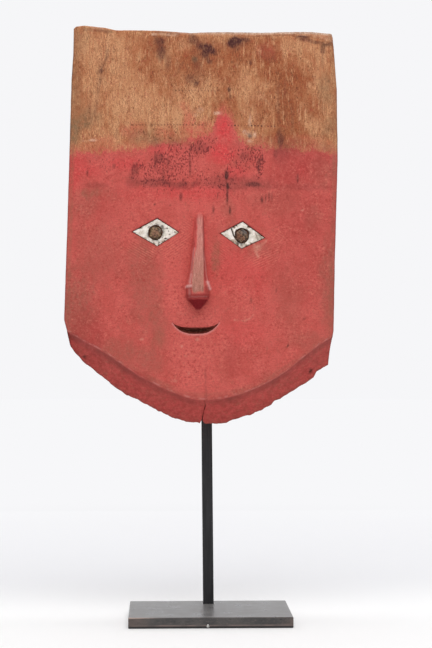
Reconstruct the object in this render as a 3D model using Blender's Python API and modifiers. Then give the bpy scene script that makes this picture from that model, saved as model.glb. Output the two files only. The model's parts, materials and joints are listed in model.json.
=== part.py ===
"""A carved wooden funerary mask with inlaid eyes, held up by a blackened steel stand.

Metres, +Z up. The origin is the middle of the base plate's underside, and the mask faces -Y.
Lists of points are written in millimetres, as (x, z) seen from the front, and scaled once.
"""

import math

import bmesh
import bpy
from mathutils import Vector

MM = 0.001
GAP = 0.3 * MM
SHARP_ANGLE = math.radians(32)

# The stand: a steel plate, a square bar that leans a little, and the screws through the bar.
BASE_WIDTH = 150 * MM
BASE_DEPTH = 100 * MM
BASE_THICKNESS = 10 * MM
BASE_EDGE_ROUNDING = 0.8 * MM
ROD_SIDE = 10 * MM
ROD_FRONT_Y = 30 * MM
ROD_TOP_Z = 402 * MM
ROD_LEAN = math.radians(0.535)
ROD_EDGE_ROUNDING = 0.5 * MM
SOCKET_DEPTH = 6 * MM
SCREW_HEIGHTS = {"upper": 388 * MM, "lower": 318 * MM}
SCREW_RADIUS = 2 * MM
SCREW_HEAD_RADIUS = 4.2 * MM
SCREW_HEAD_HEIGHT = 2.6 * MM
SCREW_BITE = 16 * MM
PIN_X = -2.8 * MM
PIN_Z = 2.3 * MM
PIN_RADIUS = 0.7 * MM
PIN_HEAD_RADIUS = 1.4 * MM
PIN_HEAD_HEIGHT = 0.9 * MM
PIN_LENGTH = 6 * MM
PIN_SIDES = 16

# The board: its outline, then its thickness measured forward from the flat back, then the worn
# strip along the top edge, as (x, height), and the rows that its foot needs.
BOARD_BACK_Y = ROD_FRONT_Y - GAP
LEFT_SIDE = [
    (-133.0, 270.5), (-135.6, 280.5), (-132.7, 373.0), (-129.3, 505.0), (-127.8, 528.0),
    (-127.3, 553.0),
]
RIGHT_SIDE = [
    (115.3, 265.2), (116.2, 270.5), (117.7, 335.0), (121.0, 430.0), (120.5, 498.0),
    (118.0, 533.0), (117.0, 547.5),
]
TOP_EDGE = [
    (-127.3, 553.0), (-124.6, 555.0), (-117.0, 555.6), (-97.3, 553.0), (-87.9, 550.4),
    (-50.6, 549.3), (-18.0, 547.2), (0.7, 548.0), (47.6, 548.6), (76.0, 550.3),
    (95.2, 551.0), (115.2, 550.0), (117.0, 547.5),
]
CHIN_EDGE = [
    (-133.0, 270.5), (-117.8, 261.3), (-96.3, 249.8), (-79.3, 237.9), (-63.6, 227.7),
    (-47.8, 219.7), (-34.0, 213.7), (-23.3, 209.4), (-12.5, 206.9), (-1.9, 206.5),
    (11.9, 208.1), (27.4, 211.8), (41.3, 216.9), (55.3, 223.5), (71.3, 233.2),
    (97.0, 253.6), (102.7, 257.8), (115.3, 265.2),
]
RIM = [
    (-132.7, 268.0), (-130.2, 255.6), (-125.8, 249.0), (-118.8, 241.1), (-107.5, 232.2),
    (-92.4, 220.1), (-77.5, 209.9), (-70.0, 206.8), (-55.1, 199.1), (-43.9, 192.8),
    (-32.8, 187.9), (-21.6, 185.0), (-9.6, 183.5), (-7.2, 187.0), (-4.8, 183.4),
    (8.2, 183.3), (15.6, 184.1), (18.8, 185.9), (38.1, 191.2), (46.6, 194.8),
    (57.9, 200.8), (60.8, 204.2), (66.5, 205.3), (72.2, 209.6), (83.7, 217.0),
    (92.3, 221.3), (98.4, 225.5), (101.0, 231.4), (112.6, 237.6),
]
FACE_AXIS_X = -13 * MM
FLAT_HALF_WIDTH = 29 * MM
FACE_HALF_WIDTH = 126 * MM
CHIN_Z = 207 * MM
CROWN_Z = 549 * MM
THICKNESS_AT_CHIN = 60 * MM
THICKNESS_AT_CROWN = 44 * MM
FALL_TO_SIDES = 17 * MM
EVEN_FALL = 0.6
ARRIS = 2.5 * MM
COVE_STEP = 17 * MM
COVE_POWER = 3.0
COVE_FULL_HEIGHT = 20 * MM
CHAMFER = [
    (-127.3, 0.6), (-45.0, 0.8), (-15.0, 3.2), (45.0, 3.2), (75.0, 2.4), (96.0, 4.4), (117.0, 8.4),
]
CHAMFER_RECESS = 0.9
CHAMFER_ROWS = [2.4, 3.2, 8.4]
COLUMN_PITCH = 6.2 * MM
FACE_ROWS = 34
BAND_ROWS = 7

# The nose, as sections down the face: height, middle, then half widths of ridge, wing and root,
# then how far the wing and the ridge stand off the face.
NOSE_ROOT_DEPTH = 5 * MM
NOSE_SECTIONS = [
    (384.0, -10.0, 2.6, 2.8, 3.0, -1.6, -1.5),
    (377.0, -10.1, 3.0, 3.5, 3.9, 0.6, 1.6),
    (356.0, -10.7, 4.0, 4.9, 5.6, 2.2, 6.4),
    (336.0, -11.2, 5.1, 6.2, 7.2, 3.8, 11.8),
    (322.0, -11.5, 5.5, 7.6, 8.8, 6.8, 16.0),
    (311.0, -11.7, 5.8, 10.2, 10.9, 11.6, 19.4),
    (308.5, -11.7, 5.9, 10.1, 10.7, 8.8, 19.6),
    (301.5, -11.7, 6.7, 10.2, 10.9, 9.6, 17.8),
    (299.8, -11.6, 6.1, 9.7, 10.5, 8.4, 14.8),
    (290.3, -11.3, 1.2, 1.6, 2.2, -1.0, -0.8),
]

# The mouth, a crescent cut between two arcs that share their corners.
MOUTH_X = -13.4 * MM
MOUTH_HALF_WIDTH = 21.8 * MM
MOUTH_CORNER_Z = 277.4 * MM
MOUTH_UPPER_SAG = 4.4 * MM
MOUTH_LOWER_SAG = 10.4 * MM
MOUTH_UPPER_POWER = 3.6
MOUTH_LOWER_POWER = 3.7
MOUTH_DEPTH = 10 * MM
MOUTH_STEPS = 12

# The eyes, as the lozenge's four corners, then the pupil's middle and its two radii.
EYES = {
    "left": {
        "corners": [(-71.8, 361.6), (-48.9, 373.7), (-29.1, 360.9), (-48.8, 348.2)],
        "pupil": (-50.7, 360.9),
        "radii": (6.5, 6.8),
    },
    "right": {
        "corners": [(9.9, 360.0), (30.3, 371.0), (50.8, 356.3), (29.2, 346.2)],
        "pupil": (29.6, 358.2),
        "radii": (6.5, 7.0),
    },
}
POCKET_MARGIN = 0.5 * MM
SHELL_THICKNESS = 3.0 * MM
SHELL_RECESS = 0.7 * MM
PUPIL_THICKNESS = 3.4 * MM
PUPIL_ROUNDING = 0.9 * MM
PUPIL_STEPS = 24

# How far a cutter reaches past what it cuts.
CLEAR = 30 * MM

# Plain finishes, as colour, roughness and metallic value.
FINISHES = {
    "red_pigment_on_wood": ((0.55, 0.09, 0.075), 0.85, 0.0),
    "white_shell": ((0.78, 0.75, 0.68), 0.5, 0.0),
    "dark_resin": ((0.1, 0.06, 0.035), 0.6, 0.0),
    "blackened_steel": ((0.035, 0.035, 0.038), 0.5, 0.8),
    "bright_steel": ((0.55, 0.55, 0.55), 0.3, 1.0),
}


def clear_scene():
    for obj in list(bpy.data.objects):
        bpy.data.objects.remove(obj, do_unlink=True)


def new_collection(name):
    collection = bpy.data.collections.new(name)
    bpy.context.scene.collection.children.link(collection)
    return collection


def finish(name):
    """The material of that name, made the first time that it is asked for."""
    material = bpy.data.materials.get(name)
    if material is None:
        colour, roughness, metallic = FINISHES[name]
        material = bpy.data.materials.new(name)
        material.use_nodes = True
        shader = material.node_tree.nodes["Principled BSDF"]
        shader.inputs["Base Color"].default_value = (*colour, 1.0)
        shader.inputs["Roughness"].default_value = roughness
        shader.inputs["Metallic"].default_value = metallic
    return material


def add_object(name, mesh, collection, finish_name=None):
    obj = bpy.data.objects.new(name, mesh)
    collection.objects.link(obj)
    if finish_name:
        mesh.materials.append(finish(finish_name))
        mesh.shade_smooth()
        mesh.set_sharp_from_angle(angle=SHARP_ANGLE)
    return obj


def add_cutter(name, mesh):
    cutter = add_object(name, mesh, CUTTERS)
    cutter.hide_render = True
    cutter.display_type = "WIRE"
    return cutter


def add_boolean(obj, other, operation="DIFFERENCE"):
    modifier = obj.modifiers.new(f"{operation.lower()} {other.name}", "BOOLEAN")
    modifier.operation = operation
    modifier.object = other


def add_bevel(obj, width, segments=2):
    modifier = obj.modifiers.new("rounded edges", "BEVEL")
    modifier.width = width
    modifier.segments = segments
    modifier.limit_method = "ANGLE"


def mesh_from(bm, name):
    bmesh.ops.recalc_face_normals(bm, faces=bm.faces)
    mesh = bpy.data.meshes.new(name)
    bm.to_mesh(mesh)
    bm.free()
    return mesh


def box_mesh(name, size, middle=(0, 0, 0)):
    bm = bmesh.new()
    bmesh.ops.create_cube(bm, size=1)
    bmesh.ops.scale(bm, vec=size, verts=bm.verts)
    bmesh.ops.translate(bm, vec=middle, verts=bm.verts)
    return mesh_from(bm, name)


def cylinder_mesh(name, radius, start, end, end_radius=None):
    """A cylinder along Y, or a cone where the radius at its end is another."""
    bm = bmesh.new()
    bmesh.ops.create_cone(
        bm,
        cap_ends=True,
        segments=PIN_SIDES,
        radius1=radius,
        radius2=radius if end_radius is None else end_radius,
        depth=abs(end - start),
    )
    turn = Vector((0, 0, 1)).rotation_difference(Vector((0, math.copysign(1, end - start), 0)))
    bmesh.ops.rotate(bm, cent=(0, 0, 0), matrix=turn.to_matrix(), verts=bm.verts)
    bmesh.ops.translate(bm, vec=(0, (start + end) / 2, 0), verts=bm.verts)
    return mesh_from(bm, name)


def plate_mesh(name, outline, thickness):
    """A flat outline in X and Z, made solid by half its thickness to each side of Y = 0."""
    curve = bpy.data.curves.new(name, "CURVE")
    curve.dimensions = "2D"
    curve.fill_mode = "BOTH"
    curve.extrude = thickness / 2
    spline = curve.splines.new("POLY")
    spline.points.add(len(outline) - 1)
    for point, (x, z) in zip(spline.points, outline):
        point.co = (x, z, 0, 1)
    spline.use_cyclic_u = True
    guide = bpy.data.objects.new(name, curve)
    bpy.context.scene.collection.objects.link(guide)
    evaluated = guide.evaluated_get(bpy.context.evaluated_depsgraph_get())
    mesh = bpy.data.meshes.new_from_object(evaluated)
    bpy.data.objects.remove(guide)
    bpy.data.curves.remove(curve)
    bm = bmesh.new()
    bm.from_mesh(mesh)
    bpy.data.meshes.remove(mesh)
    bmesh.ops.remove_doubles(bm, verts=bm.verts, dist=1e-6)
    for vertex in bm.verts:
        vertex.co = Vector((vertex.co.x, -vertex.co.z, vertex.co.y))
    return mesh_from(bm, name)


def lerp(a, b, share):
    return a + (b - a) * share


def through(points, place, given=0, wanted=1):
    """The straight-line value of a list of points, in metres, at a place that is in metres too."""
    place /= MM
    for before, after in zip(points, points[1:]):
        if place <= after[given]:
            break
    share = (place - before[given]) / (after[given] - before[given])
    return lerp(before[wanted], after[wanted], min(max(share, 0.0), 1.0)) * MM


def along(points, share):
    """The (x, z) at a share of the way across an outline, from its left end to its right end."""
    x = lerp(points[0][0], points[-1][0], share) * MM
    return x, through(points, x)


def arris_drop(inset):
    """How far a worn edge falls back at an inset from it."""
    if inset >= ARRIS:
        return 0.0
    return ARRIS - math.sqrt(max(ARRIS**2 - (ARRIS - inset) ** 2, 0.0))


def face_depth(x, z):
    """The board's thickness: a flat middle facet that falls away to both sides, thinner at the crown."""
    height = (z - CHIN_Z) / (CROWN_Z - CHIN_Z)
    middle = lerp(THICKNESS_AT_CHIN, THICKNESS_AT_CROWN, min(max(height, 0.0), 1.0))
    off = abs(x - FACE_AXIS_X) - FLAT_HALF_WIDTH
    share = max(off, 0.0) / (FACE_HALF_WIDTH - FLAT_HALF_WIDTH)
    return middle - FALL_TO_SIDES * lerp(share**2, share, EVEN_FALL)


def face_point(across, up):
    """A point of the face. across runs from the left side to the right, and up from the chin's edge."""
    _, chin_z = along(CHIN_EDGE, across)
    _, top_z = along(TOP_EDGE, across)
    left_z = lerp(CHIN_EDGE[0][1], TOP_EDGE[0][1], up) * MM
    right_z = lerp(CHIN_EDGE[-1][1], TOP_EDGE[-1][1], up) * MM
    left_x = through(LEFT_SIDE, left_z, 1, 0)
    right_x = through(RIGHT_SIDE, right_z, 1, 0)
    x = lerp(left_x, right_x, across)
    z = lerp(chin_z, top_z, up)
    inset = min(x - left_x, right_x - x, z - chin_z)
    depth = face_depth(x, z) - arris_drop(inset)
    depth -= CHAMFER_RECESS * max(0.0, through(CHAMFER, x) - (top_z - z))
    return x, z, depth


def band_point(across, up):
    """A point of the cove below the chin: it steps back at once, then turns to face forward."""
    rim_x, rim_z = along(RIM, across)
    chin_x, chin_z, chin_depth = face_point(across, 0.0)
    step = COVE_STEP * min((chin_z - rim_z) / COVE_FULL_HEIGHT, 1.0)
    return lerp(rim_x, chin_x, up), lerp(rim_z, chin_z, up), chin_depth - step * (1 - up**COVE_POWER)


def column_places():
    """Shares across the board: one at each rim point and at each arris, and enough between them."""
    left, right = RIM[0][0] * MM, RIM[-1][0] * MM
    width = right - left
    fixed = sorted({(x * MM - left) / width for x, _ in RIM} | {ARRIS / width, 1 - ARRIS / width})
    places = [0.0]
    for place in fixed:
        steps = math.ceil((place - places[-1]) * width / COLUMN_PITCH - 1e-6)
        start = places[-1]
        places += [lerp(start, place, (i + 1) / steps) for i in range(steps)]
    return places


def row_places():
    """Rows from the rim up, as a point function and its second place: the band, then the face."""
    rows = [(band_point, math.sin(math.pi / 2 * i / BAND_ROWS)) for i in range(BAND_ROWS)]
    face = [i / FACE_ROWS for i in range(FACE_ROWS + 1)]
    face += [inset / (CROWN_Z - CHIN_Z) for inset in (ARRIS / 3, ARRIS)]
    face += [1 - height * MM / (CROWN_Z - CHIN_Z) for height in CHAMFER_ROWS]
    return rows + [(face_point, place) for place in sorted(face)]


def board_mesh():
    """The front is a grid laid over the outline. Its border is drawn back and closed by one flat face."""
    columns, rows = column_places(), row_places()
    bm = bmesh.new()
    last_column, last_row = len(columns) - 1, len(rows) - 1
    bmesh.ops.create_grid(bm, x_segments=last_column, y_segments=last_row, size=1)
    for vertex in bm.verts:
        column = round((vertex.co.x + 1) / 2 * last_column)
        row = round((vertex.co.y + 1) / 2 * last_row)
        point, up = rows[row]
        x, z, depth = point(columns[column], up)
        vertex.co = (x, BOARD_BACK_Y - depth, z)
    border = [edge for edge in bm.edges if edge.is_boundary]
    drawn = bmesh.ops.extrude_edge_only(bm, edges=border)["geom"]
    for vertex in (item for item in drawn if isinstance(item, bmesh.types.BMVert)):
        vertex.co.y = BOARD_BACK_Y
    bmesh.ops.holes_fill(bm, edges=[edge for edge in bm.edges if edge.is_boundary], sides=0)
    return mesh_from(bm, "mask_board")


def nose_mesh():
    """A loft down the face. Each section has a flat ridge, two wings and a root sunk in the board."""
    bm = bmesh.new()
    rings = []
    for z, middle, ridge, wing, root, wing_height, ridge_height in NOSE_SECTIONS:
        surface = BOARD_BACK_Y - face_depth(middle * MM, z * MM)
        half = [(root, -NOSE_ROOT_DEPTH / MM), (root, min(0.0, wing_height))]
        half += [(wing, wing_height), (ridge, ridge_height)]
        ring = [(-x, out) for x, out in half] + [(x, out) for x, out in reversed(half)]
        rings.append([
            bm.verts.new(((middle + x) * MM, surface - out * MM, z * MM)) for x, out in ring
        ])
    for upper, lower in zip(rings, rings[1:]):
        for i in range(len(upper)):
            j = (i + 1) % len(upper)
            bm.faces.new((upper[i], upper[j], lower[j], lower[i]))
    bm.faces.new(rings[0])
    bm.faces.new(rings[-1])
    return mesh_from(bm, "nose")


def mouth_outline():
    steps = [-1 + 2 * i / MOUTH_STEPS for i in range(MOUTH_STEPS + 1)]

    def arc(sag, power):
        return [
            (MOUTH_X + t * MOUTH_HALF_WIDTH, MOUTH_CORNER_Z - sag * (1 - abs(t) ** power))
            for t in steps
        ]

    lower = arc(MOUTH_LOWER_SAG, MOUTH_LOWER_POWER)
    upper = arc(MOUTH_UPPER_SAG, MOUTH_UPPER_POWER)
    return lower + upper[-2:0:-1]


def face_slope(x, z):
    """The direction straight out of the face there."""
    step = MM
    by_x = (face_depth(x + step, z) - face_depth(x - step, z)) / (2 * step)
    by_z = (face_depth(x, z + step) - face_depth(x, z - step)) / (2 * step)
    return -Vector((by_x, 1, by_z)).normalized()


def grown(corners, margin):
    """A lozenge whose four sides have each moved out by a margin."""
    lines = []
    for (x0, z0), (x1, z1) in zip(corners, corners[1:] + corners[:1]):
        along_side = Vector((x1 - x0, z1 - z0)).normalized()
        outward = Vector((-along_side.y, along_side.x))
        lines.append((Vector((x0, z0)) + outward * margin, along_side))
    points = []
    for (start, way), (other, other_way) in zip(lines[-1:] + lines[:-1], lines):
        reach = (other - start).cross(other_way) / way.cross(other_way)
        points.append(tuple(start + way * reach))
    return points


def pupil_outline(radii, margin=0.0):
    turns = [2 * math.pi * i / PUPIL_STEPS for i in range(PUPIL_STEPS)]
    return [((radii[0] + margin) * math.cos(t), (radii[1] + margin) * math.sin(t)) for t in turns]


def add_eye(side, board):
    """A lozenge of shell with a round hole, and the pupil in it, sunk in a pocket of the board."""
    eye = EYES[side]
    x, z = (coordinate * MM for coordinate in eye["pupil"])
    outward = face_slope(x, z)
    frame = bpy.data.objects.new(f"{side}_eye_frame", None)
    PARTS.objects.link(frame)
    frame.location = (x, BOARD_BACK_Y - face_depth(x, z), z)
    frame.rotation_euler = (-outward).to_track_quat("Y", "Z").to_euler()
    corners = [(cx * MM - x, cz * MM - z) for cx, cz in eye["corners"]]
    radii = [radius * MM for radius in eye["radii"]]

    pocket = add_cutter(f"{side}_eye_pocket", plate_mesh("pocket", grown(corners, POCKET_MARGIN), CLEAR))
    pocket.parent = frame
    floor = SHELL_RECESS + SHELL_THICKNESS + GAP
    pocket.location.y = floor - CLEAR / 2
    add_boolean(board, pocket)

    shell = add_object(
        f"{side}_eye_shell", plate_mesh("shell", corners, SHELL_THICKNESS), PARTS, "white_shell"
    )
    shell.parent = frame
    shell.location.y = SHELL_RECESS + SHELL_THICKNESS / 2
    hole = add_cutter(f"{side}_eye_hole", plate_mesh("hole", pupil_outline(radii, GAP), CLEAR))
    hole.parent = frame
    add_boolean(shell, hole)

    disc = plate_mesh("pupil", pupil_outline(radii), PUPIL_THICKNESS)
    pupil = add_object(f"{side}_eye_pupil", disc, PARTS, "dark_resin")
    pupil.parent = frame
    pupil.location.y = floor - GAP - PUPIL_THICKNESS / 2
    add_bevel(pupil, PUPIL_ROUNDING)


def add_board():
    board = add_object("mask", board_mesh(), PARTS, "red_pigment_on_wood")
    mouth = add_cutter("mouth_cut", plate_mesh("mouth", mouth_outline(), CLEAR))
    lip_y = BOARD_BACK_Y - face_depth(MOUTH_X, MOUTH_CORNER_Z)
    mouth.location.y = lip_y + MOUTH_DEPTH - CLEAR / 2
    add_boolean(board, mouth)
    return board


def lean_with_rod(obj):
    """Turns a piece by the rod's lean, about the middle of the plate's top."""
    obj.location = (0, 0, BASE_THICKNESS)
    obj.rotation_euler.y = -ROD_LEAN


def rod_box(name, clearance, bottom, top):
    """A square bar, with heights measured from the point at the plate's top that it leans about."""
    side = ROD_SIDE + 2 * clearance
    middle = (0, ROD_FRONT_Y + ROD_SIDE / 2, (bottom + top) / 2)
    return box_mesh(name, (side, side, top - bottom), middle)


def add_stand():
    base = add_object(
        "base_plate",
        box_mesh("base", (BASE_WIDTH, BASE_DEPTH, BASE_THICKNESS), (0, 0, BASE_THICKNESS / 2)),
        PARTS,
        "blackened_steel",
    )
    add_bevel(base, BASE_EDGE_ROUNDING)
    socket = add_cutter("rod_socket", rod_box("socket", GAP, -SOCKET_DEPTH, CLEAR))
    lean_with_rod(socket)
    add_boolean(base, socket)

    rod = add_object(
        "stand_rod",
        rod_box("rod", 0.0, GAP - SOCKET_DEPTH, ROD_TOP_Z - BASE_THICKNESS),
        PARTS,
        "blackened_steel",
    )
    lean_with_rod(rod)
    add_bevel(rod, ROD_EDGE_ROUNDING, segments=1)
    return base, rod


def add_screws(board, rod):
    """Two round-headed screws that run from behind, through the rod, into the board's back."""
    rod_back = ROD_FRONT_Y + ROD_SIDE
    tip = ROD_FRONT_Y - SCREW_BITE
    for which, height in SCREW_HEIGHTS.items():
        place = (-math.tan(ROD_LEAN) * (height - BASE_THICKNESS), 0, height)
        drill = add_cutter(
            f"{which}_screw_hole", cylinder_mesh("drill", SCREW_RADIUS + GAP, rod_back + CLEAR, tip - GAP)
        )
        shank = add_cutter(
            f"{which}_screw_shank", cylinder_mesh("shank", SCREW_RADIUS, rod_back + 2 * GAP, tip)
        )
        head = cylinder_mesh(
            "screw", SCREW_HEAD_RADIUS, rod_back + GAP, rod_back + SCREW_HEAD_HEIGHT, SCREW_RADIUS
        )
        screw = add_object(f"{which}_screw", head, PARTS, "bright_steel")
        for obj in (drill, shank, screw):
            obj.location = place
        add_boolean(screw, shank, "UNION")
        add_boolean(rod, drill)
        add_boolean(board, drill)


def add_front_pin(base):
    """The small round-headed pin low in the base plate's front edge."""
    front = -BASE_DEPTH / 2
    tip = front + PIN_LENGTH
    drill = add_cutter("pin_hole", cylinder_mesh("drill", PIN_RADIUS + GAP, front - CLEAR, tip + GAP))
    shank = add_cutter("pin_shank", cylinder_mesh("shank", PIN_RADIUS, front - 2 * GAP, tip))
    head = cylinder_mesh("pin", PIN_HEAD_RADIUS, front - GAP, front - PIN_HEAD_HEIGHT, PIN_RADIUS)
    pin = add_object("base_pin", head, PARTS, "bright_steel")
    for obj in (drill, shank, pin):
        obj.location = (PIN_X, 0, PIN_Z)
    add_boolean(pin, shank, "UNION")
    add_boolean(base, drill)


clear_scene()
PARTS = new_collection("funerary_mask_on_stand")
CUTTERS = new_collection("cutters")
BOARD = add_board()
for SIDE in EYES:
    add_eye(SIDE, BOARD)
BASE, ROD = add_stand()
add_front_pin(BASE)
add_screws(BOARD, ROD)
add_boolean(BOARD, add_cutter("nose", nose_mesh()), "UNION")
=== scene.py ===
"""The looks of a carved wooden funerary mask with inlaid eyes, on its blackened steel stand.

The scene is in metres, +Z up, and the mask faces -Y. The mask itself is worked out in millimetres,
as x and z seen from the front and a depth forward from its flat back. All random numbers are
seeded.
"""

import json
import math

import bmesh
import bpy
import numpy as np
from mathutils import Matrix, Vector

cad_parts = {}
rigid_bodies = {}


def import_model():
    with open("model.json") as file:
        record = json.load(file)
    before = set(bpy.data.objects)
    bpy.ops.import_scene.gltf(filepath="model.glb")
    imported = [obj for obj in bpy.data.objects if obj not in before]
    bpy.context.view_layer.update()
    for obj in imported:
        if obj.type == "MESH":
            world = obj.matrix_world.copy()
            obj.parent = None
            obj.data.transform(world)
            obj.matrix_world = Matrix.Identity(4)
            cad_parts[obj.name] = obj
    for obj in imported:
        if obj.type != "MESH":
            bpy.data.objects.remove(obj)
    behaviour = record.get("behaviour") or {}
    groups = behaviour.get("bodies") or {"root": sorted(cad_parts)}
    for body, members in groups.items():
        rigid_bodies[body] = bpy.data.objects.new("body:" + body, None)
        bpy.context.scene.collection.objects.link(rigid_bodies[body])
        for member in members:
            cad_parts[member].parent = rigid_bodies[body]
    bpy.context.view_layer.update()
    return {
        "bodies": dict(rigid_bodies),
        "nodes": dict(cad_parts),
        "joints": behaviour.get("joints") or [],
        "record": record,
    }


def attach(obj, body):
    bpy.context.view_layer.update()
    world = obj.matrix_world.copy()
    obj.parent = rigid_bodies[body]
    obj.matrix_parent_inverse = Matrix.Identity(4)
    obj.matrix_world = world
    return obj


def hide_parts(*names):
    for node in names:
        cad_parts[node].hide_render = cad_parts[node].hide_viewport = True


MM = 0.001

# The photograph's view: where the camera stands, where it looks and how long its lens is.
CAMERA_PLACE = Vector((-46.4, -1601.5, 261.5)) * MM
CAMERA_YAW = math.radians(1.88)
CAMERA_PITCH = math.radians(0.535)
CAMERA_LENS = 95
CAMERA_SENSOR = 36

# The light and the paper round the object. A light is its place, what it points at, its two sides
# and its power. The board is half its width, how far back it stands and its height.
WORLD_COLOUR = (1, 1, 1.02, 1)
WORLD_STRENGTH = 0.2
LIGHTS = {
    "key": ((0.1, -1.15, 2.2), (0, 0, 0.32), (2.2, 1.2), 29.9),
    "fill": ((-0.2, -2.6, 1), (0, 0, 0.32), (2.4, 1.8), 11.7),
    "wash": ((0, 0.25, 2.6), (0, 1, 0.6), (3, 0.8), 27),
}
PAPER_GLOW = (140, 140, 141)
FLOOR_NEAR = (212, 212, 211)
# The floor is painted darker behind the object, as painted shade.
FLOOR_SHADED_BEHIND = (200, 200, 202)
BOARD_COLOUR = (206, 206, 208)
BOARD_SHAPE = (3, 1.02, 4)
SURROUND = (246, 246, 248)
SETTING_RADIUS = 6
FADE_START = 0.35
FADE_END = 1.2

# The board's outline and its thickness in front of a flat back, in millimetres.
BOARD_BACK_Y = 29.7
LEFTMOST_X = -135.35
LEFT_SIDE = [
    (-133, 270.5), (-135.6, 280.5), (-132.7, 373), (-129.3, 505), (-127.8, 528), (-127.3, 553),
]
RIGHT_SIDE = [
    (115.3, 265.2), (116.2, 270.5), (117.7, 335), (121, 430), (120.5, 498), (118, 533),
    (117, 547.5),
]
TOP_EDGE = [
    (-127.3, 553), (-124.6, 555), (-117, 555.6), (-97.3, 553), (-87.9, 550.4), (-50.6, 549.3),
    (-18, 547.2), (0.7, 548), (47.6, 548.6), (76, 550.3), (95.2, 551.2), (115.6, 550.6),
    (117, 547.5),
]
CHIN_EDGE = [
    (-133, 270.5), (-117.8, 261.3), (-96.3, 249.8), (-79.3, 237.9), (-63.6, 227.7), (-47.8, 219.7),
    (-34, 213.7), (-23.3, 209.4), (-12.5, 206.9), (-1.9, 206.5), (11.9, 208.1), (27.4, 211.8),
    (41.3, 216.9), (55.3, 223.5), (71.3, 233.2), (97, 253.6), (102.7, 257.8), (115.3, 265.2),
]
RIM = [
    (-132.7, 268), (-130.2, 255.6), (-125.8, 249), (-118.8, 241.1), (-107.5, 232.2), (-92.4, 220.1),
    (-77.5, 209.9), (-70, 206.8), (-55.1, 199.1), (-43.9, 192.8), (-32.8, 187.9), (-21.6, 185),
    (-9.6, 183.5), (-7.2, 187), (-4.8, 183.4), (8.2, 183.3), (15.6, 184.1), (18.8, 185.9),
    (38.1, 191.2), (46.6, 194.8), (57.9, 200.8), (60.8, 204.2), (66.5, 205.3), (72.2, 209.6),
    (83.7, 217), (92.3, 221.3), (98.4, 225.5), (101, 231.4), (112.6, 237.6),
]
FACE_AXIS_X = -13
FLAT_HALF_WIDTH = 29
FACE_HALF_WIDTH = 126
CHIN_Z = 207
CROWN_Z = 549
THICKNESS_AT_CHIN = 60
THICKNESS_AT_CROWN = 44
FALL_TO_SIDES = 17
EVEN_FALL = 0.6
ARRIS = 2.5
COVE_STEP = 17
COVE_POWER = 3
COVE_FULL_HEIGHT = 20
CHAMFER = [(-127.3, 0.6), (-45, 0.8), (-15, 3.2), (45, 3.2), (75, 2.4), (96, 4.4), (117, 8.4)]
CHAMFER_RECESS = 0.25

# How close the grid's lines lie, as spans of (start, end, pitch): closest where the carving is.
COLUMN_SPANS = [
    (-132.7, -129.7, 0.75), (-129.7, -78, 1.45), (-78, 56, 0.95), (56, 109.6, 1.45),
    (109.6, 112.6, 0.75),
]
ROW_SPANS = [(207, 211, 0.7), (211, 262, 1.45), (262, 450, 0.95), (450, 538, 1.45), (538, 549, 0.8)]
BAND_ROWS = 20
SIDE_RINGS = 8
BORDER_PITCH = 1.1
BACK_STEP = 4
CUT_WALL = 0.12

# The nose, as sections down the face: height, middle, then half widths of ridge, wing and root,
# then how far the wing and the ridge stand off the face.
NOSE_SECTIONS = [
    (384, -10, 2.6, 2.8, 3, -1.6, -1.5), (377, -10.1, 3, 3.5, 3.9, 0.6, 1.6),
    (356, -10.7, 4, 4.9, 5.6, 2.2, 6.4), (336, -11.2, 5.1, 6.2, 7.2, 3.8, 11.8),
    (322, -11.5, 5.5, 7.6, 8.8, 6.8, 16), (311, -11.7, 5.8, 10.2, 10.9, 11.6, 19.4),
    (308.5, -11.7, 5.9, 10.1, 10.7, 8.8, 19.6), (301.5, -11.7, 6.7, 10.2, 10.9, 9.6, 17.8),
    (299.8, -11.6, 6.1, 9.7, 10.5, 8.4, 14.8), (294.4, -11.3, 4, 5.3, 6.2, 3, 5),
    (291.4, -11.3, 1.9, 2.8, 3.8, 0.6, 1.4), (289.2, -11.3, 0.6, 0.9, 1.8, -1, -0.8),
]
NOSE_WALL_LEAST = 1.2
NOSE_WEAR = 0.6

# The mouth, a crescent cut between two arcs that share their corners.
MOUTH_X = -13.4
MOUTH_HALF_WIDTH = 22.4
MOUTH_CORNER_Z = 278.3
MOUTH_UPPER_SAG = 5.2
MOUTH_LOWER_SAG = 11.3
MOUTH_UPPER_POWER = 3.8
MOUTH_LOWER_POWER = 2.9
MOUTH_DEPTH = 10

# The eyes, as the lozenge's four corners, then the pupil's middle and its two radii.
EYES = {
    "left": {
        "corners": [(-71.8, 361.6), (-48.9, 373.7), (-29.1, 360.9), (-48.8, 348.2)],
        "pupil": (-50.7, 360.9),
        "radii": (6.5, 6.8),
    },
    "right": {
        "corners": [(9.9, 360), (30.3, 371), (50.8, 356.3), (29.2, 346.2)],
        "pupil": (29.6, 358.2),
        "radii": (6.5, 7),
    },
}
POCKET_MARGIN = 0.5
SHELL_RECESS = 0.7
SHELL_THICKNESS = 3
PUPIL_RECESS = 0.9
GAP = 0.3

# The split in the chin, as (x, z, half width), and pits as (x, z, radius, depth).
CHIN_SPLIT = [
    (-6.5, 222, 0.08), (-5.4, 212, 0.12), (-5, 207, 0.14), (-4.4, 201, 0.4), (-5.6, 195, 0.18),
    (-6.9, 190, 0.3), (-7.2, 184, 1.2),
]
SPLIT_DEPTH = 5
PITS = [
    (95.5, 232.3, 1.8, 2.2), (71.5, 255.6, 0.9, 0.8), (-117, 245.8, 1, 0.9),
    (18.6, 492.9, 1.1, 1.5), (-100.9, 512.7, 1.8, 0.8), (106.9, 538.2, 1.6, 1),
]

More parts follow.
